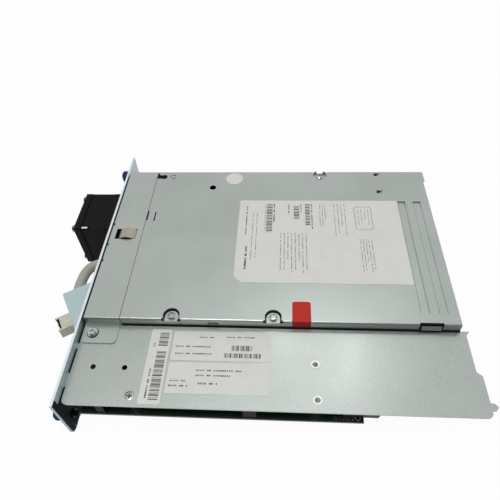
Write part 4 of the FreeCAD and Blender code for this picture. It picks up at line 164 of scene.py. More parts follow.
def galvanised_sheet():
    """Zinc-plated sheet steel, cold rolled and passivated: a satin grey grain under a clear film, so a
    lamp shows as a grainy bright streak on a soft glow. The real grain is finer, and is drawn 0.6 mm
    wide so that it shows. Broad clouds of 45 mm shade it faintly."""
    material, tree, surface = new_material("galvanised_sheet", Metallic=0.85, Coat_Weight=0.35,
                                           Coat_Roughness=0.14)
    grain = speckle(tree, 0.6, 3.0)
    fine = tone(tree, grain, *ZINC_TONES)
    broad = tone(tree, speckle(tree, 45.0), "#F6F7F5", "#FFFFFF")
    mixed = add(tree, "ShaderNodeMix", {"data_type": "RGBA", "blend_type": "MULTIPLY"},
                _0=1.0, _6=fine, _7=broad)
    lay(tree, surface, mixed.outputs[2], grain, (0.3, 0.34), 0.004, 0.2)
    film = add(tree, "ShaderNodeBump", None, Height=grain, Distance=0.015 * MM, Strength=0.5)
    tree.links.new(film.outputs["Normal"], surface.inputs["Coat Normal"])
    return material


def metal(name, metallic, grain_mm, tones, rough, relief_mm=0.0, strength=0.5, detail=2.0,
          stretch=(1, 1, 1)):
    """Bare or plated metal. One grain, grain_mm wide, runs its colour between the two tones and its
    roughness between the two values of rough; it stands up as a relief where the metal was blasted or
    rolled rough."""
    material, tree, surface = new_material(name, Metallic=metallic)
    grain = speckle(tree, grain_mm, detail, stretch)
    lay(tree, surface, tone(tree, grain, *tones), grain, rough, relief_mm, strength)
    return material


def black_oxide():
    """Black-oxide steel of small fasteners: nearly black and oily, with a soft shine and a faint brown
    cloud of about 1.5 mm."""
    material, tree, surface = new_material("black_oxide", Specular_IOR_Level=0.2)
    cloud = tone(tree, speckle(tree, 1.5), *OXIDE_TONES)
    lay(tree, surface, cloud, speckle(tree, 0.5), (0.36, 0.5))
    return material


def two_part(name, axis, at, low_side, high_side, metallic, shine):
    """One piece of two finishes that meet at a plane across X or Z, under a grain of 0.4 mm. low_side
    and high_side are the pairs of tones on the two sides; metallic is how metallic each side is."""
    material, tree, surface = new_material(name, Specular_IOR_Level=shine)
    place = add(tree, "ShaderNodeTexCoord").outputs["Object"]
    along = add(tree, "ShaderNodeSeparateXYZ", None, Vector=place).outputs[axis]
    side = add(tree, "ShaderNodeMath", {"operation": "GREATER_THAN"}, _0=along, _1=at).outputs[0]
    grain = speckle(tree, 0.4)
    mixed = add(tree, "ShaderNodeMix", {"data_type": "RGBA"}, _0=side,
                _6=tone(tree, grain, *low_side), _7=tone(tree, grain, *high_side))
    share = add(tree, "ShaderNodeMapRange", None, Value=side, To_Min=metallic[0], To_Max=metallic[1])
    tree.links.new(share.outputs["Result"], surface.inputs["Metallic"])
    lay(tree, surface, mixed.outputs[2], grain, (0.34, 0.46), 0.02)
    return material


def moulded(name, tones, rough, grain_mm=0.35, depth_mm=0.02, shine=0.5):
    """Injection-moulded plastic: satin, with the spark-eroded grain of its tool drawn as coarse as it
    needs to be to show. A shine below 0.5 is for a surface that shades part of its own shine."""
    material, tree, surface = new_material(name, IOR=1.49, Specular_IOR_Level=shine)
    grain = speckle(tree, grain_mm)
    lay(tree, surface, tone(tree, grain, *tones), grain, (rough - 0.06, rough + 0.06), depth_mm)
    return material


def solder_mask():
    """Glass-epoxy board under dark green solder mask: glossy, with hairline copper tracks showing
    through as paler lines."""
    material, tree, surface = new_material("solder_mask", IOR=1.5, Coat_Weight=0.4, Coat_Roughness=0.15)
    place = add(tree, "ShaderNodeTexCoord").outputs["Object"]
    tracks = add(tree, "ShaderNodeTexBrick", {"offset": 0.37, "squash": 1.0},
                 Vector=place, Scale=1 / (11 * MM), Mortar_Size=0.012, Brick_Width=0.9, Row_Height=0.11,
                 Color1=linear("#0C211B"), Color2=linear("#0A1C18"), Mortar=linear("#1B3F31"))
    lay(tree, surface, tracks.outputs["Color"], speckle(tree, 0.8), (0.3, 0.42))
    return material


def label_film(name, colour, rough=0.42, shine=0.5):
    """Printed polyester label film: smooth, with a slight slow unevenness of about 9 mm where it lies
    on the metal."""
    material, tree, surface = new_material(name, IOR=1.5, Specular_IOR_Level=shine)
    wave = speckle(tree, 9.0)
    flat = linear(colour)
    deeper = (*(c * 0.965 for c in flat[:3]), 1.0)
    lay(tree, surface, tone(tree, wave, deeper, flat), wave, (rough - 0.05, rough + 0.05), 0.03, 0.15)
    return material


def print_ink(name, colour):
    """Thermal-transfer ink on a label: matt, with the slightly open edge of a print head's dots of
    0.2 mm."""
    material, tree, surface = new_material(name, IOR=1.5)
    dots = speckle(tree, 0.2)
    full = linear(colour)
    paler = (*(min(1.0, c * 1.5 + 0.01) for c in full[:3]), 1.0)
    lay(tree, surface, tone(tree, dots, full, paler), dots, (0.5, 0.62))
    return material


ZINC = galvanised_sheet()
# Blue-passivated zinc sheet: paler and colder than the covers, with the same fine grain.
BLUE_ZINC = metal("blue_zinc_sheet", 0.6, 0.7, BLUE_ZINC_TONES, (0.38, 0.5), 0.01, 0.3, detail=3.0)
# Die-cast aluminium, shot-blasted: a dull grey skin with a 0.4 mm pebble.
CAST = metal("cast_alloy", 0.8, 0.4, ("#7F8483", "#9A9F9D"), (0.5, 0.64), 0.03)
# Nickel-plated spring strip, rolled: warm and bright, with streaks along X.
NICKEL = metal("nickel_strip", 1.0, 0.5, ("#A29D90", "#C3BEB0"), (0.22, 0.36), stretch=(0.1, 1, 1))
# Bright-dipped zinc on steel screws: a clear shine with faint polishing marks.
SCREW = metal("bright_zinc", 1.0, 0.3, ("#BCBFC0", "#DCDEDE"), (0.12, 0.24))
# Deep-drawn steel of motor cans and rollers: satin, with fine turning lines.
DRAWN = metal("drawn_steel", 1.0, 0.4, ("#8E9090", "#ABADAD"), (0.28, 0.42), stretch=(1, 1, 4))
OXIDE = black_oxide()
# Matt tin plate on the riveted posts' flanges: pale, with a milky shine.
TIN = metal("matt_tin", 0.4, 0.8, ("#E4E5E1", "#F2F2EE"), (0.34, 0.46))
# Tin-plated cage of the port: warm beige metal with a soft shine.
CAGE = metal("plated_cage", 0.45, 1.2, ("#C0BEAB", "#D2D0BE"), (0.36, 0.5))
# Tin-finished copper pads: small and bright, mottled by their solder.
PAD = metal("solder_pad", 1.0, 0.4, ("#C6CAC1", "#E6E8E0"), (0.25, 0.4))
MASK = solder_mask()
# Moulded ABS: black for the drive's mouth and rails.
BLACK_ABS = moulded("black_abs", ("#141416", "#202023"), 0.45)
# Glass-filled PBT of the fan: blacker and duller than the ABS.
FAN_PBT = moulded("fan_pbt", ("#080809", "#0F0F11"), 0.55, shine=0.12)
# Acetal gears: milky white and waxy.
ACETAL = moulded("acetal", ("#D3D1C6", "#E2E0D6"), 0.4)
# Matt blue-black film with a faint slow ripple, on the rear panel's inner face under the plate: painted
# shade.
SHADE_FILM = moulded("insulator_film", ("#080C15", "#0E131E"), 0.5, 1.5, 0.01, 0.06)
# Transfer-moulded epoxy of the chips: dark grey and even.
CHIP_EPOXY = moulded("chip_epoxy", ("#141516", "#1E1F21"), 0.5)
# Extruded PVC jacket of the cable: warm grey, with a soft drawn grain.
JACKET = moulded("cable_jacket", ("#9C9A8E", "#B3B1A6"), 0.5, 0.8, 0.03)
# Moulded rubber of the grommet: matt and dark.
RUBBER = moulded("grommet_rubber", ("#1A1A1B", "#262627"), 0.65)
# Matt black for the pieces of painted shade in slots, gaps, hollows and corners: the mattest and darkest of
# the plastics.
SHADE_BLACK = moulded("painted_shade_black", ("#0C0D0E", "#141516"), 0.7, shine=0.15)
# Blue moulded ABS knob on a black-oxide shank: satin blue that gives way to nearly black.
KNOB_ABS = two_part("knob_and_shank", "X", KNOB_FACE, ("#20305E", "#2A3C70"), OXIDE_TONES,
                    (0.0, 0.0), 0.2)
# Zinc spring clip: zinc on its top, where it catches the light, and painted shade, nearly black, below,
# where it hangs under the plate.
CLIP_LIT_AND_SHADED = two_part("clip_painted_shade", "Z", CLIP_SHADE_LINE, ("#0A0A0B", "#101011"), ZINC_TONES,
                      (0.0, 0.85), 0.08)
# Zinc screw head over its recess, which is painted dark as its shade.
SCREW_RECESS_SHADE = two_part("screw_painted_recess_shade", "Z", RECESS_SHADE_LINE, ("#343432", "#42423F"), ("#A4A7A6", "#BEC0BE"),
                      (0.2, 1.0), 0.4)
# Blue zinc sheet whose cut edge at the top is painted near white as its highlight.
PANEL_HIGHLIGHTED = two_part("panel_zinc_painted_highlight", "Z", PANEL_HIGHLIGHT_LINE, BLUE_ZINC_TONES, ("#E2EAF0", "#F0F5F8"),
                       (0.6, 0.3), 0.5)
LABEL = label_film("label_film", "#DCDDD7")
# Red seal film: duller than the labels.
SEAL = label_film("seal_film", "#BE2A20", 0.4, 0.2)
INK = print_ink("black_ink", "#242526")
GREY_INK = print_ink("grey_ink", "#6E6F6E")
BAR_INK = print_ink("bar_ink", "#4A4B4C")

# finishes of single nodes, and of all other nodes by their material slot
NODE_FINISHES = {
    "board_clips": CLIP_LIT_AND_SHADED, "board_standoffs": TIN, "fan_screws": OXIDE, "plate_screw": SCREW_RECESS_SHADE,
    "rear_panel": PANEL_HIGHLIGHTED, "retainer_far": OXIDE, "retainer_near": OXIDE, "thumbscrew_ferrules": OXIDE,
}
FINISHES = {
    "zinc_steel": ZINC, "blue_zinc_steel": BLUE_ZINC, "cast_alloy": CAST, "spring_nickel": NICKEL,
    "screw_steel": SCREW, "black_abs": BLACK_ABS, "fan_black": FAN_PBT, "knob_blue": KNOB_ABS,
    "gear_acetal": ACETAL, "board_laminate": MASK, "chip_epoxy": CHIP_EPOXY, "port_metal": CAGE,
    "insulator_film": SHADE_FILM, "cable_jacket": JACKET, "grommet_rubber": RUBBER, "guard_wire": SCREW,
    "motor_steel": DRAWN,
}


def dress_nodes():
    """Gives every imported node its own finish, or else the finish of its material slot."""
    for entry in frame["record"]["subparts"]:
        node = frame["nodes"][entry["node"]]
        node.data.materials.clear()
        node.data.materials.append(NODE_FINISHES.get(entry["node"], FINISHES[entry["material_slot"]]))


# ---- meshes worked out on grids ------------------------------------------------------------------
POINTS_A_CORNER = 6


def finished(name, points, faces, material, body="sled"):
    """Object from points and faces, with its material and the body it rides on."""
    mesh = bpy.data.meshes.new(name)
    mesh.from_pydata(points.tolist(), [], faces.tolist())
    mesh.validate()
    mesh.update()
    piece = bpy.data.objects.new(name, mesh)
    bpy.context.scene.collection.objects.link(piece)
    mesh.materials.append(material)
    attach(piece, body)
    return piece


def surface_piece(name, grid, material, wrap=False):
    """Mesh from a grid of points, rows by columns; wrap joins the last column to the first.
    Each face joins a point to its neighbours in the next row and column."""
    rows, columns = grid.shape[:2]
    index = np.arange(rows * columns).reshape(rows, columns)
    right = np.roll(index, -1, axis=1)
    span = columns if wrap else columns - 1
    quads = np.stack([index[:-1, :span], right[:-1, :span], right[1:, :span], index[1:, :span]], axis=-1)
    return finished(name, grid.reshape(-1, 3), quads.reshape(-1, 4), material)


def stacked(name, rings, heights, material, across=False, wrap=True):
    """Surface through flat rings of points, each at its own height. The rings lie in X and Y and are
    stacked up Z; where across is true, they lie in Y and Z and are stacked along X."""
    levels = np.broadcast_to(np.array(heights)[:, None, None], (*rings.shape[:2], 1))
    grid = np.concatenate([rings, levels], axis=-1)
    surface_piece(name, np.roll(grid, 1, axis=-1) if across else grid, material, wrap=wrap)


def slab(name, outline, centre, low, high, material, across=False):
    """Closed slab between two heights: rings run from the middle of its underside out to the outline,
    up, and back in on top."""
    shares = np.array([0.0, 1.0, 1.0, 0.0])[:, None, None]
    stacked(name, np.array(centre) + outline * shares, (low, low, high, high), material, across)


def band(name, inner, outer, low, high, material, across=False, wrap=True):
    """Flat band between two outlines and two heights: rings run out along its underside, up, back in
    on top and down again."""
    rings = np.stack([inner, outer, outer, inner, inner])
    stacked(name, rings, (low, low, high, high, low), material, across, wrap)


def circle(radius, centre=(0.0, 0.0), steps=40):
    """Points spaced evenly round a circle, anticlockwise: the centre, plus the radius times the cosine
    and the sine of each turn."""
    turn = np.linspace(0, 2 * math.pi, steps, endpoint=False)
    return np.array(centre) + radius * np.stack([np.cos(turn), np.sin(turn)], axis=-1)


def rounded_outline(width, depth, radius):
    """Outline of a rectangle with round corners, centred on the origin, anticlockwise:
    each corner is a quarter turn of the radius about its own centre."""
    turn = np.linspace(0, math.pi / 2, POINTS_A_CORNER)
    arcs = []
    for quarter, (sx, sy) in enumerate(((1, 1), (-1, 1), (-1, -1), (1, -1))):
        angle = turn + quarter * math.pi / 2
        centre = np.array([sx * (width / 2 - radius), sy * (depth / 2 - radius)])
        arcs.append(centre + radius * np.stack([np.cos(angle), np.sin(angle)], axis=-1))
    return np.concatenate(arcs)


def cut_corner_outline(width, depth, radius, chamfer):
    """Round-cornered rectangle whose corner at low X and low Y is cut off at 45 degrees: the points
    nearer to that corner than the cut give way to the cut's two ends."""
    outline = rounded_outline(width, depth, radius)
    corner = np.array([-width / 2, -depth / 2])
    inside = (outline - corner).sum(axis=1) > chamfer
    ends = corner + np.array([[0, chamfer], [chamfer, 0]])
    kept = np.concatenate([outline[inside], ends])
    return kept[np.argsort(np.arctan2(kept[:, 1], kept[:, 0]))]


def boxes_piece(name, spans, material):
    """One piece of many small closed boxes, such as printed bars or pads; spans is rows of x, y and z
    limits. Each box takes its eight corners from its row, and the same six faces over them."""
    spans = np.asarray(spans, float)
    corners = np.array([[0, 2, 4], [1, 2, 4], [1, 3, 4], [0, 3, 4],
                        [0, 2, 5], [1, 2, 5], [1, 3, 5], [0, 3, 5]])
    sides = np.array([[0, 3, 2, 1], [4, 5, 6, 7], [0, 1, 5, 4], [1, 2, 6, 5], [2, 3, 7, 6], [3, 0, 4, 7]])
    faces = sides[None] + 8 * np.arange(len(spans))[:, None, None]
    finished(name, spans[:, corners].reshape(-1, 3), faces.reshape(-1, 4), material)


# ---- labels --------------------------------------------------------------------------------------
LABEL_FILM = 0.10 * MM
LABEL_LIFT = 0.02 * MM
INK_FILM = 0.02 * MM

# labels on the lid and the plate: limits from the seam, and from the near edge or the drive's side
COVER_LABEL = ((71.0, 191.0), (30.5, 111.0))
COVER_LABEL_CHAMFER = 5.5
UPPER_LABEL = ((36.0, 97.5), (4.3, 24.8))
LOWER_LABEL = ((35.8, 97.6), (26.0, 46.3))
BAR_LABEL = ((21.2, 34.3), (3.3, 53.5))
LABEL_CORNER = 1.2
STICKER_PLACE = (64.4, 136.8)
STICKER_R = 6.9
STICKER_POINTS = 64

# rows of plain bars: limits as above, and whether the row runs along Y
COVER_BARS = (
    ((91.8, 96.4), (107.0, 76.3), True), ((112.4, 116.6), (104.8, 90.5), True),
    ((121.0, 124.6), (107.0, 84.5), True),
)
PLATE_BARS = (
    ((27.0, 32.9), (5.7, 15.9), True), ((26.9, 32.8), (19.0, 51.4), True),
    ((73.5, 86.8), (13.8, 17.6), False), ((69.2, 92.6), (19.3, 22.4), False),
)
BAR_PITCH = 0.9
UNITS_A_PITCH = 1.75
BAR_PATTERN = (1, 2, 1, 1, 3, 1, 2, 2, 1, 3, 2, 1)  # in units
BAR_SHARE, GAP_SHARE = 0.66, 0.55  # how much of the pattern a bar and a gap take
GAP_LEAD = 5  # the gaps follow the same pattern, this many places ahead

# rows of dashes: limits as above, how many rows, whether they run along Y, and a row's width
DASH_STEP = 1.3
ROW_REACH, ROW_SWING = 0.82, 0.18  # a row's share of its limits, and how far that swings
DASH_SHARE, DASH_SWING = 0.7, 0.16  # a dash's share of its step, and how far that swings
DASH_SKIP = 0.93  # a dash is left out where its sine passes this
COVER_DARK_RULES = (
    ((97.0, 98.2), (107.0, 85.8), 1, True, 1.0), ((77.5, 79.0), (63.0, 40.0), 1, True, 1.4),
    ((108.2, 109.2), (106.4, 94.4), 1, True, 0.8), ((117.4, 118.4), (106.8, 97.6), 1, True, 0.8),
    ((125.4, 126.6), (107.0, 78.5), 1, True, 0.8), ((76.4, 77.6), (104.5, 72.5), 1, True, 0.8),
)
COVER_FINE_RULES = (
    ((90.4, 91.4), (106.0, 78.0), 1, True, 0.4), ((80.4, 86.4), (97.0, 46.5), 2, True, 0.5),
    ((101.5, 122.5), (76.2, 37.0), 8, True, 0.6), ((131.0, 137.0), (106.2, 80.5), 3, True, 0.5),
    ((141.6, 152.0), (107.0, 72.0), 4, True, 0.5), ((158.6, 168.6), (70.6, 38.5), 5, True, 0.5),
    ((159.0, 169.0), (101.0, 84.0), 4, True, 0.45),
)
PLATE_RULES = (
    ((24.2, 24.9), (13.3, 16.6), 1, True, 0.8), ((24.6, 25.4), (31.0, 51.5), 1, True, 1.0),
    ((52.5, 62.5), (8.0, 8.8), 1, False, 0.8), ((69.7, 88.9), (7.6, 8.4), 1, False, 0.8),
    ((38.2, 62.0), (14.6, 15.6), 1, False, 0.9), ((38.4, 63.0), (19.6, 20.6), 1, False, 0.9),
    ((53.0, 82.9), (30.6, 31.8), 1, False, 0.9), ((53.0, 76.1), (34.0, 35.0), 1, False, 0.9),
    ((55.0, 68.0), (39.2, 40.2), 1, False, 1.1), ((37.9, 49.8), (37.8, 38.8), 1, False, 0.7),
    ((37.5, 50.5), (40.9, 42.0), 1, False, 1.0),
)

# empty ruled frame on the lid's label
FRAME_LOW, FRAME_HIGH = (157.6, 80.0), (170.4, 104.2)
FRAME_LINE = 0.35
FRAME_CORNER = 2.2


def label_on(place, name, span_x, span_y, low, chamfer=0.0):
    """Label between two spans in millimetres; place turns them into the frame's X and Y."""
    x0, y0 = place(span_x[0], span_y[0])
    x1, y1 = place(span_x[1], span_y[1])
    width, depth = abs(x1 - x0), abs(y1 - y0)
    if chamfer:
        outline = cut_corner_outline(width, depth, LABEL_CORNER * MM, chamfer * MM)
    else:
        outline = rounded_outline(width, depth, LABEL_CORNER * MM)
    slab(name, outline, ((x0 + x1) / 2, (y0 + y1) / 2), low, low + LABEL_FILM, LABEL)


def flat_span(place, corners, low):
    """Limits of a thin box over a rectangle given in millimetres on the cover or the plate."""
    x0, y0 = place(corners[0], corners[1])
    x1, y1 = place(corners[2], corners[3])
    return [min(x0, x1), max(x0, x1), min(y0, y1), max(y0, y1), low, low + INK_FILM]


def ruled(place, low, groups):
    """Spans of rows of short dashes. A row's length, a dash's length and the wider gap after some of
    them come from sines of their place, so a row looks unevenly set without any random number."""
    spans = []
    for (x0, x1), (y0, y1), count, along_y, width in groups:
        for line in range(count):
            share = (line + 0.5) / count
            centre = x0 + (x1 - x0) * share if along_y else y0 + (y1 - y0) * share
            start, end = (y0, y1) if along_y else (x0, x1)
            reach = (end - start) * (ROW_REACH + ROW_SWING * math.sin(2.1 * line + 0.7))
            steps = max(1, int(abs(reach) / DASH_STEP))
            for step in range(steps):
                if math.sin(1.9 * step + 2.7 * line + 0.6) > DASH_SKIP:
                    continue
                inked = DASH_SHARE + DASH_SWING * math.sin(5.3 * step + 1.7 * line)
                a = start + reach * step / steps
                b = start + reach * (step + inked) / steps
                if along_y:
                    corners = (centre - width / 2, a, centre + width / 2, b)
                else:
                    corners = (a, centre - width / 2, b, centre + width / 2)
                spans.append(flat_span(place, corners, low))
    return spans


def bar_rows(place, low, groups):
    """Spans of plain bars in a row. Their widths, and the gaps between them, step through a short
    repeating pattern of units. The unit is the row's length, shared out over a whole number of pitches
    and the units in each; a row ends within two units of its limit."""
    spans = []
    for (x0, x1), (y0, y1), along_y in groups:
        start, end = (y0, y1) if along_y else (x0, x1)
        unit = abs(end - start) / (UNITS_A_PITCH * math.ceil(abs(end - start) / BAR_PITCH))
        way = 1 if end > start else -1
        at, step = start, 0
        while way * (end - at) > 2 * unit:
            thick = unit * BAR_PATTERN[step % len(BAR_PATTERN)] * BAR_SHARE
            corners = (x0, at, x1, at + way * thick) if along_y else (at, y0, at + way * thick, y1)
            spans.append(flat_span(place, corners, low))
            gap = unit * BAR_PATTERN[(step + GAP_LEAD) % len(BAR_PATTERN)] * GAP_SHARE
            at += way * (thick + gap)
            step += 1
    return spans


def cover_labels():
    """White film on the lid with its plain bars, rules and empty frame, and the round sticker."""
    low = TOP_Z + LABEL_LIFT
    label_on(on_cover, "cover_label", *COVER_LABEL, low, COVER_LABEL_CHAMFER)
    ink_low = low + LABEL_FILM
    boxes_piece("cover_label_bars", bar_rows(on_cover, ink_low, COVER_BARS), BAR_INK)
    boxes_piece("cover_label_dark_rules", ruled(on_cover, ink_low, COVER_DARK_RULES), INK)
    boxes_piece("cover_label_fine_rules", ruled(on_cover, ink_low, COVER_FINE_RULES), GREY_INK)
    frame_line(ink_low)
    disc = circle(STICKER_R * MM, steps=STICKER_POINTS)
    slab("round_sticker", disc, on_cover(*STICKER_PLACE), low, low + LABEL_FILM, LABEL)


def frame_line(low):
    """Empty ruled frame on the cover label: a band between two round-cornered outlines."""
    x0, y0 = on_cover(*FRAME_LOW)
    x1, y1 = on_cover(*FRAME_HIGH)
    middle = np.array([(x0 + x1) / 2, (y0 + y1) / 2])
    line = FRAME_LINE * MM
    corner = FRAME_CORNER * MM
    outer = middle + rounded_outline(x1 - x0, y1 - y0, corner)
    inner = middle + rounded_outline(x1 - x0 - 2 * line, y1 - y0 - 2 * line, corner - line)
    band("cover_label_frame", inner, outer, low, low + INK_FILM, GREY_INK)


def plate_labels():
    """Two wide labels and a narrow bar label on the side plate."""
    low = PLATE_TOP + LABEL_LIFT
    label_on(on_plate, "upper_plate_label", *UPPER_LABEL, low)
    label_on(on_plate, "lower_plate_label", *LOWER_LABEL, low)
    label_on(on_plate, "bar_label", *BAR_LABEL, low)
    ink_low = low + LABEL_FILM
    boxes_piece("plate_label_bars", bar_rows(on_plate, ink_low, PLATE_BARS), BAR_INK)
    boxes_piece("plate_label_rules", ruled(on_plate, ink_low, PLATE_RULES), BAR_INK)


# ---- films over the lid's near edge, and black pieces of painted shade ---------------------------
LID_BEND = 1.2
LID_POINTS, BEND_POINTS, SIDE_POINTS = 24, 8, 6  # of a strip along the lid, its bend and its side

# red seal
SEAL_SPAN = (110.9, 122.8)  # from the seam
SEAL_REACH = 15.6  # in from the near edge
SEAL_CORNER = 1.4
SEAL_GAP = 0.2  # from its lower end to the plate

# black strip of painted shade, and the tongue, over the front slot
CATCH_SPAN = (189.6, 204.2)
CATCH_REACH = 1.4
CATCH_DROP = 5.4  # below the lid's top
TONGUE_INSET = 1.2  # from each end of the black strip
TONGUE = ((0.15, 1.5), (1.3, 4.6))  # its two ends, out from the near edge and below the lid's top

# black beads of painted shade round the near screw pockets
POCKETS = (33.3, 98.9)  # from the seam
POCKET_FROM_NEAR = 3.6  # to the screw's axis, from the near edge
POCKET_FLOOR = 1.85  # below the lid's top
BEAD_SIDES = ((4.35, 4.35), (5.35, 6.2))  # radius of the arch, and how far out the foot stands
BEAD_FOOT = (-3.5, -2.4)  # from the screw's axis, along Y
BEAD_HEIGHT = 0.1
BEAD_POINTS = 33

# black bead of painted shadow in the corner between the lid's skirt and the plate
CORNER_R = 0.9
CORNER_POINTS = 7
CORNER_GAP = 0.05  # off the skirt and off the plate
CORNER_ENDS = (0.3, 1.2)  # from the seam, and short of the lid's front

# black pads of painted shade behind openings: from the seam, from the near edge, and below the lid's top
SHADE_PADS = (
    ((3.0, 8.0), (86.5, 102.0), (0.82, 2.4)),  # behind the hook's slit
    ((0.05, 2.4), (87.0, 101.0), (0.74, 0.8)),  # on the drive's wall, in the slit at the seam
    ((0.05, 2.4), (135.0, 145.0), (0.74, 0.8)),  # the same, in the keyhole's neck
    ((2.45, 9.5), (135.5, 143.55), (0.82, 2.6)),  # under the keyhole
    ((176.7, 182.7), (123.05, 125.0), (0.82, 5.4)),  # behind the nearer lance
    ((176.7, 182.7), (143.53, 143.61), (0.82, 5.4)),  # on the far wall, behind the other lance
    ((-13.5, -8.3), (-33.0, -27.0), (7.9, 9.9)),  # under the plate's first hole
)


def over_the_bend(reach_mm, low):
    """Path across the lid's near edge: in along the lid, round the bend on its radius, down to a height.
    Rows are Y and Z."""
    bend = LID_BEND * MM
    reach = np.linspace(reach_mm * MM, bend, LID_POINTS)
    turn = np.linspace(0, math.pi / 2, BEND_POINTS)[1:]
    flat = np.stack([NEAR_Y + reach, np.full_like(reach, TOP_Z + LABEL_LIFT)], axis=-1)
    centre = np.array([NEAR_Y + bend, TOP_Z - bend])
    round_part = centre + (bend + LABEL_LIFT) * np.stack([-np.sin(turn), np.cos(turn)], axis=-1)
    down = np.linspace(TOP_Z - bend, low, SIDE_POINTS)[1:]
    side = np.stack([np.full_like(down, NEAR_Y - LABEL_LIFT), down], axis=-1)
    return np.concatenate([flat, round_part, side])


def strip_over(name, path, x_low, x_high, material):
    """Film carried along a path of Y and Z between two X limits, which may differ from row to row."""
    share = np.linspace(0, 1, 5)
    low, high = (np.broadcast_to(limit, len(path))[:, None] for limit in (x_low, x_high))
    x = low * (1 - share) + high * share
    y, z = (np.broadcast_to(path[:, [column]], x.shape) for column in (0, 1))
    piece = surface_piece(name, np.stack([x, y, z], axis=-1), material)
    shell = piece.modifiers.new("film", "SOLIDIFY")
    shell.thickness = LABEL_FILM
    shell.offset = 1.0


def seal():
    """Red film folded over the lid's near bend and down the side to the plate. The free end on the lid
    has round corners, so the strip narrows there by a circle's rule."""
    path = over_the_bend(SEAL_REACH, PLATE_TOP + SEAL_GAP * MM)
    run = np.concatenate([[0.0], np.cumsum(np.linalg.norm(np.diff(path, axis=0), axis=1))])
    corner = SEAL_CORNER * MM
    short = np.clip(corner - run, 0, corner)
    narrow = corner - np.sqrt(np.maximum(corner**2 - short**2, 0))
    x0, x1 = (SEAM_X + from_seam * MM for from_seam in SEAL_SPAN)
    strip_over("folded_seal", path, x0 + narrow, x1 - narrow, SEAL)


def pocket_shade_beads():
    """Black bead of painted shade round each near screw pocket's raised floor, where the gap under the
    lid's cut edge lies in shadow: an arch of one radius over the screw, two straight legs to the lid's near
    edge, and a foot that steps outwards there."""
    low = TOP_Z - POCKET_FLOOR * MM
    turn = np.linspace(0, math.pi, BEAD_POINTS)
    foot_low, foot_high = BEAD_FOOT
    for number, from_seam in enumerate(POCKETS, 1):
        middle = np.array(on_cover(from_seam, POCKET_FROM_NEAR))
        sides = []
        for radius, out in BEAD_SIDES:
            arch = radius * np.stack([np.cos(turn), np.sin(turn)], axis=-1)
            right = np.array([[out, foot_low], [out, foot_high], [radius, foot_high]])
            left = right[::-1] * np.array([-1, 1])
            sides.append(middle + MM * np.concatenate([right, arch, left]))
        band(f"pocket_shade_bead_{number}", *sides, low, low + BEAD_HEIGHT * MM, SHADE_BLACK, wrap=False)


def side_catch():
    """Black strip of painted shade over the lid's edge above the front slot, where the slot lies in shadow,
    and the bright tongue that springs out of it: a flat strip that leans out towards its foot."""
    start, end = (SEAM_X + from_seam * MM for from_seam in CATCH_SPAN)
    strip_over("catch_shade_strip", over_the_bend(CATCH_REACH, TOP_Z - CATCH_DROP * MM), start, end, SHADE_BLACK)
    path = np.array([[NEAR_Y - out * MM, TOP_Z - below * MM] for out, below in TONGUE])
    inset = TONGUE_INSET * MM
    strip_over("catch_tongue", path, start + inset, end - inset, ZINC)


def corner_shadow_bead():
    """Black bead of painted shadow in the corner between the lid's near skirt and the side plate: a quarter
    round carried along X, bulging out of the corner."""
    turn = np.linspace(0, math.pi / 2, CORNER_POINTS)
    foot = PLATE_TOP + CORNER_GAP * MM
    radius = CORNER_R * MM
    bulge = np.stack([NEAR_Y - radius * np.cos(turn), foot + radius * np.sin(turn)], axis=-1)
    outline = np.concatenate([bulge, [[NEAR_Y - CORNER_GAP * MM, foot]]])
    centre = outline.mean(axis=0)
    start, end = SEAM_X + CORNER_ENDS[0] * MM, COVER_HIGH.x - CORNER_ENDS[1] * MM
    slab("corner_shadow_bead", outline - centre, centre, start, end, SHADE_BLACK, across=True)


def shade_pads():
    """Black pads of painted shade behind the openings of the lid and the plate, where their insides lie in
    shadow: flat boxes between three pairs of distances."""
    spans = []
    for x, y, below in SHADE_PADS:
        spans.append([SEAM_X + x[0] * MM, SEAM_X + x[1] * MM, NEAR_Y + y[0] * MM, NEAR_Y + y[1] * MM,
                      TOP_Z - below[1] * MM, TOP_Z - below[0] * MM])
    boxes_piece("shade_pads", spans, SHADE_BLACK)


# ---- rings, the fan's mark and the board's pads --------------------------------------------------
# rings of painted shade round the tab screw and the near thumbscrew
TAB_SHEET = 0.8  # the rear cover's tab, on the plate
SHADE_RING_RIMS = (-0.3, 0.5)  # from the screw's own radius
SHADE_RING_HEIGHTS = (0.024, 0.12)  # above the tab
COLLAR_RIMS = (3.05, 4.73)
COLLAR_HEIGHTS = (0.02, 0.12)  # off the panel's face

# label strip on the fan
FAN_MARK = ((5.9, 10.4), (0.9, 2.6))  # from the fan's low corner
FAN_MARK_CORNER = 0.3
FAN_MARK_DROP = 0.58  # below the fan's flanges, which stand above its body

# contact pads
PAD_COUNT = 9
PAD_ROWS = (1.6, 3.1)  # from the board's near edge
PAD_START = 135.2  # from the seam
PAD_STEP = 1.35
PAD_SHIFT = 0.65  # of the second row
PAD_HALF_WIDTH, PAD_HALF_LENGTH = 0.3, 0.45
PAD_HEIGHT = 0.05
RING_PAD_PLACE = (149.0, 2.6)  # from the seam and the board's near edge
RING_PAD_RIMS = (1.0, 1.7)


def tab_shade_ring():
    """Black ring of painted shade round the tab screw's head: a flat ring between two circles on the tab.
    """
    low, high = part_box("tab_screw")
    middle = (low + high) / 2
    radius = (high.y - low.y) / 2
    inner, outer = (circle(radius + rim * MM, middle.xy) for rim in SHADE_RING_RIMS)
    bottom, top = (PLATE_TOP + (TAB_SHEET + height) * MM for height in SHADE_RING_HEIGHTS)
    band("tab_screw_shade_ring", inner, outer, bottom, top, SHADE_BLACK)


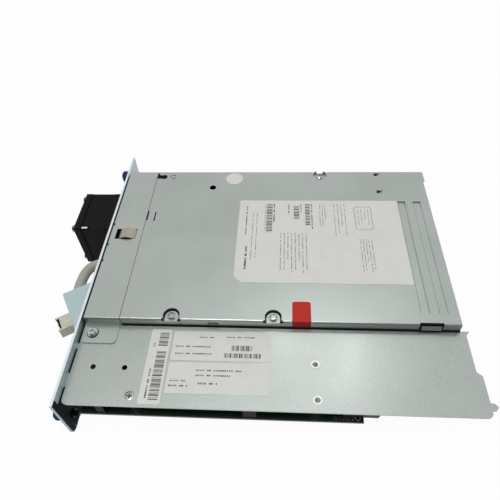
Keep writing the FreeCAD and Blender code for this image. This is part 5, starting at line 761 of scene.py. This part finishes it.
def thumbscrew_shade_collar():
    """Black film of painted shade round the near thumbscrew's ferrule, inside the opening of the
    panel_insulator piece: a flat ring between two circles on the rear panel."""
    low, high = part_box("thumbscrew_near")
    middle = (low + high) / 2
    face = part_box("panel_insulator")[0].x
    inner, outer = (circle(rim * MM, middle.yz) for rim in COLLAR_RIMS)
    back, front = (face + height * MM for height in COLLAR_HEIGHTS)
    band("thumbscrew_shade_collar", inner, outer, back, front, SHADE_FILM, across=True)


def fan_mark():
    """Small bare strip of label film on the fan's top, near its outer corner."""
    x0, x1 = (FAN_LOW.x + x * MM for x in FAN_MARK[0])
    y0, y1 = (FAN_LOW.y + y * MM for y in FAN_MARK[1])
    outline = rounded_outline(x1 - x0, y1 - y0, FAN_MARK_CORNER * MM)
    low = FAN_HIGH.z - FAN_MARK_DROP * MM
    slab("fan_mark", outline, ((x0 + x1) / 2, (y0 + y1) / 2), low, low + LABEL_FILM, LABEL)


def board_pads():
    """Two zigzag rows of contact pads and one ringed pad at the board's near front corner."""
    low, high = BOARD_HIGH.z, BOARD_HIGH.z + PAD_HEIGHT * MM
    wide, long = PAD_HALF_WIDTH * MM, PAD_HALF_LENGTH * MM
    spans = []
    for row, from_edge in enumerate(PAD_ROWS):
        y = BOARD_LOW.y + from_edge * MM
        for step in range(PAD_COUNT):
            x = SEAM_X + (PAD_START + PAD_STEP * step + PAD_SHIFT * row) * MM
            spans.append([x - wide, x + wide, y - long, y + long, low, high])
    boxes_piece("board_pads", spans, PAD)
    middle = (SEAM_X + RING_PAD_PLACE[0] * MM, BOARD_LOW.y + RING_PAD_PLACE[1] * MM)
    inner, outer = (circle(rim * MM, middle) for rim in RING_PAD_RIMS)
    band("board_ring_pad", inner, outer, low, high, PAD)


# ---- stage ---------------------------------------------------------------------------------------
CAMERA_PLACE = (-2.49, -238.835, 299.89)
CAMERA_TURN = (("Z", 0.76), ("X", 41.131), ("Y", 3.482))  # in degrees; the last one turns first
FLOOR_HALF = 4000.0
FLOOR_GAP = 0.2  # below the object, so that their faces don't meet


def camera():
    """Camera at the viewing angle, looking down across the near side."""
    data = bpy.data.cameras.new("view")
    data.sensor_width = 36.0
    data.lens = 34.74
    data.clip_start = 0.01
    viewer = bpy.data.objects.new("view", data)
    turn = Matrix()
    for axis, degrees in CAMERA_TURN:
        turn = turn @ Matrix.Rotation(math.radians(degrees), 4, axis)
    viewer.matrix_world = Matrix.Translation([reach * MM for reach in CAMERA_PLACE]) @ turn
    bpy.context.scene.collection.objects.link(viewer)
    bpy.context.scene.camera = viewer


def shown_white(tree, direct, mirrored):
    """How white the stage shows to the ray that meets it: direct for camera rays, mirrored for glossy
    and transmission rays, and 0 for the rays that only light the object."""
    ray = add(tree, "ShaderNodeLightPath").outputs
    bent = add(tree, "ShaderNodeMath", {"operation": "MAXIMUM"},
               _0=ray["Is Glossy Ray"], _1=ray["Is Transmission Ray"])
    bent = add(tree, "ShaderNodeMath", {"operation": "MULTIPLY"}, _0=bent.outputs[0], _1=mirrored)
    straight = add(tree, "ShaderNodeMath", {"operation": "MULTIPLY"}, _0=ray["Is Camera Ray"], _1=direct)
    share = add(tree, "ShaderNodeMath", {"operation": "MAXIMUM"},
                _0=bent.outputs[0], _1=straight.outputs[0])
    return share.outputs[0]


def floor():
    """Plain white floor that keeps a soft shadow: a matt white surface, mixed with white for camera,
    glossy and transmission rays so that it also shows white in metal."""
    material = bpy.data.materials.new("white_floor")
    material.use_nodes = True
    tree = material.node_tree
    tree.nodes.clear()
    matt = add(tree, "ShaderNodeBsdfDiffuse", None, Color=linear("#F4F4F4"))
    white = add(tree, "ShaderNodeEmission", None, Color=linear("#FFFFFF"), Strength=1.0)
    mixed = add(tree, "ShaderNodeMixShader", None, _0=shown_white(tree, direct=0.97, mirrored=0.5),
                _1=matt.outputs[0], _2=white.outputs[0])
    output = add(tree, "ShaderNodeOutputMaterial")
    tree.links.new(mixed.outputs[0], output.inputs["Surface"])
    mesh = bpy.data.meshes.new("floor")
    half = FLOOR_HALF * MM
    corners = [(-half, -half, 0), (half, -half, 0), (half, half, 0), (-half, half, 0)]
    mesh.from_pydata(corners, [], [(0, 1, 2, 3)])
    mesh.materials.append(material)
    ground = bpy.data.objects.new("floor", mesh)
    ground.location.z = CAD_BOX[0][2] - FLOOR_GAP * MM
    bpy.context.scene.collection.objects.link(ground)


def lamp(name, place, target, size, power):
    """Area lamp at a place in metres, turned to face a target; size is its width and height."""
    data = bpy.data.lights.new(name, "AREA")
    data.shape = "RECTANGLE"
    data.size, data.size_y = size
    data.energy = power
    light = bpy.data.objects.new(name, data)
    light.location = place
    light.rotation_euler = (Vector(target) - Vector(place)).to_track_quat("-Z", "Y").to_euler()
    bpy.context.scene.collection.objects.link(light)


def studio():
    """A pale sky that darkens towards the near side and is plain white to the camera, a broad overhead
    lamp, and two small ceiling lamps that show in the side plate."""
    world = bpy.data.worlds.new("studio")
    world.use_nodes = True
    tree = world.node_tree
    tree.nodes.clear()
    toward = add(tree, "ShaderNodeTexCoord").outputs["Generated"]
    parts = add(tree, "ShaderNodeSeparateXYZ", None, Vector=toward)
    sky = add(tree, "ShaderNodeMapRange", {"interpolation_type": "SMOOTHSTEP"}, Value=parts.outputs["Y"],
              From_Min=-0.5, From_Max=0.35, To_Min=0.08, To_Max=0.72)
    strength = add(tree, "ShaderNodeMix", None, _0=shown_white(tree, direct=1.0, mirrored=0.1),
                   _2=sky.outputs["Result"], _3=1.0)
    paper = add(tree, "ShaderNodeBackground", None, Color=linear("#FFFFFF"), Strength=strength.outputs[0])
    output = add(tree, "ShaderNodeOutputWorld")
    tree.links.new(paper.outputs[0], output.inputs["Surface"])
    bpy.context.scene.world = world
    lamp("overhead", (-0.15, -0.24, 1.4), (0, 0, 0), (0.7, 0.7), 8.4)
    lamp("ceiling_tube", (0.205, 0.48, 1.087), (0.045, -0.1, 0.034), (0.045, 0.17), 0.24)
    lamp("ceiling_spot", (0.005, 0.521, 1.071), (0, -0.084, 0.034), (0.1, 0.05), 0.2)


bpy.context.scene.view_settings.view_transform = "Standard"
dress_nodes()
cover_labels()
plate_labels()
seal()
pocket_shade_beads()
side_catch()
corner_shadow_bead()
shade_pads()
tab_shade_ring()
thumbscrew_shade_collar()
fan_mark()
board_pads()
camera()
floor()
studio()
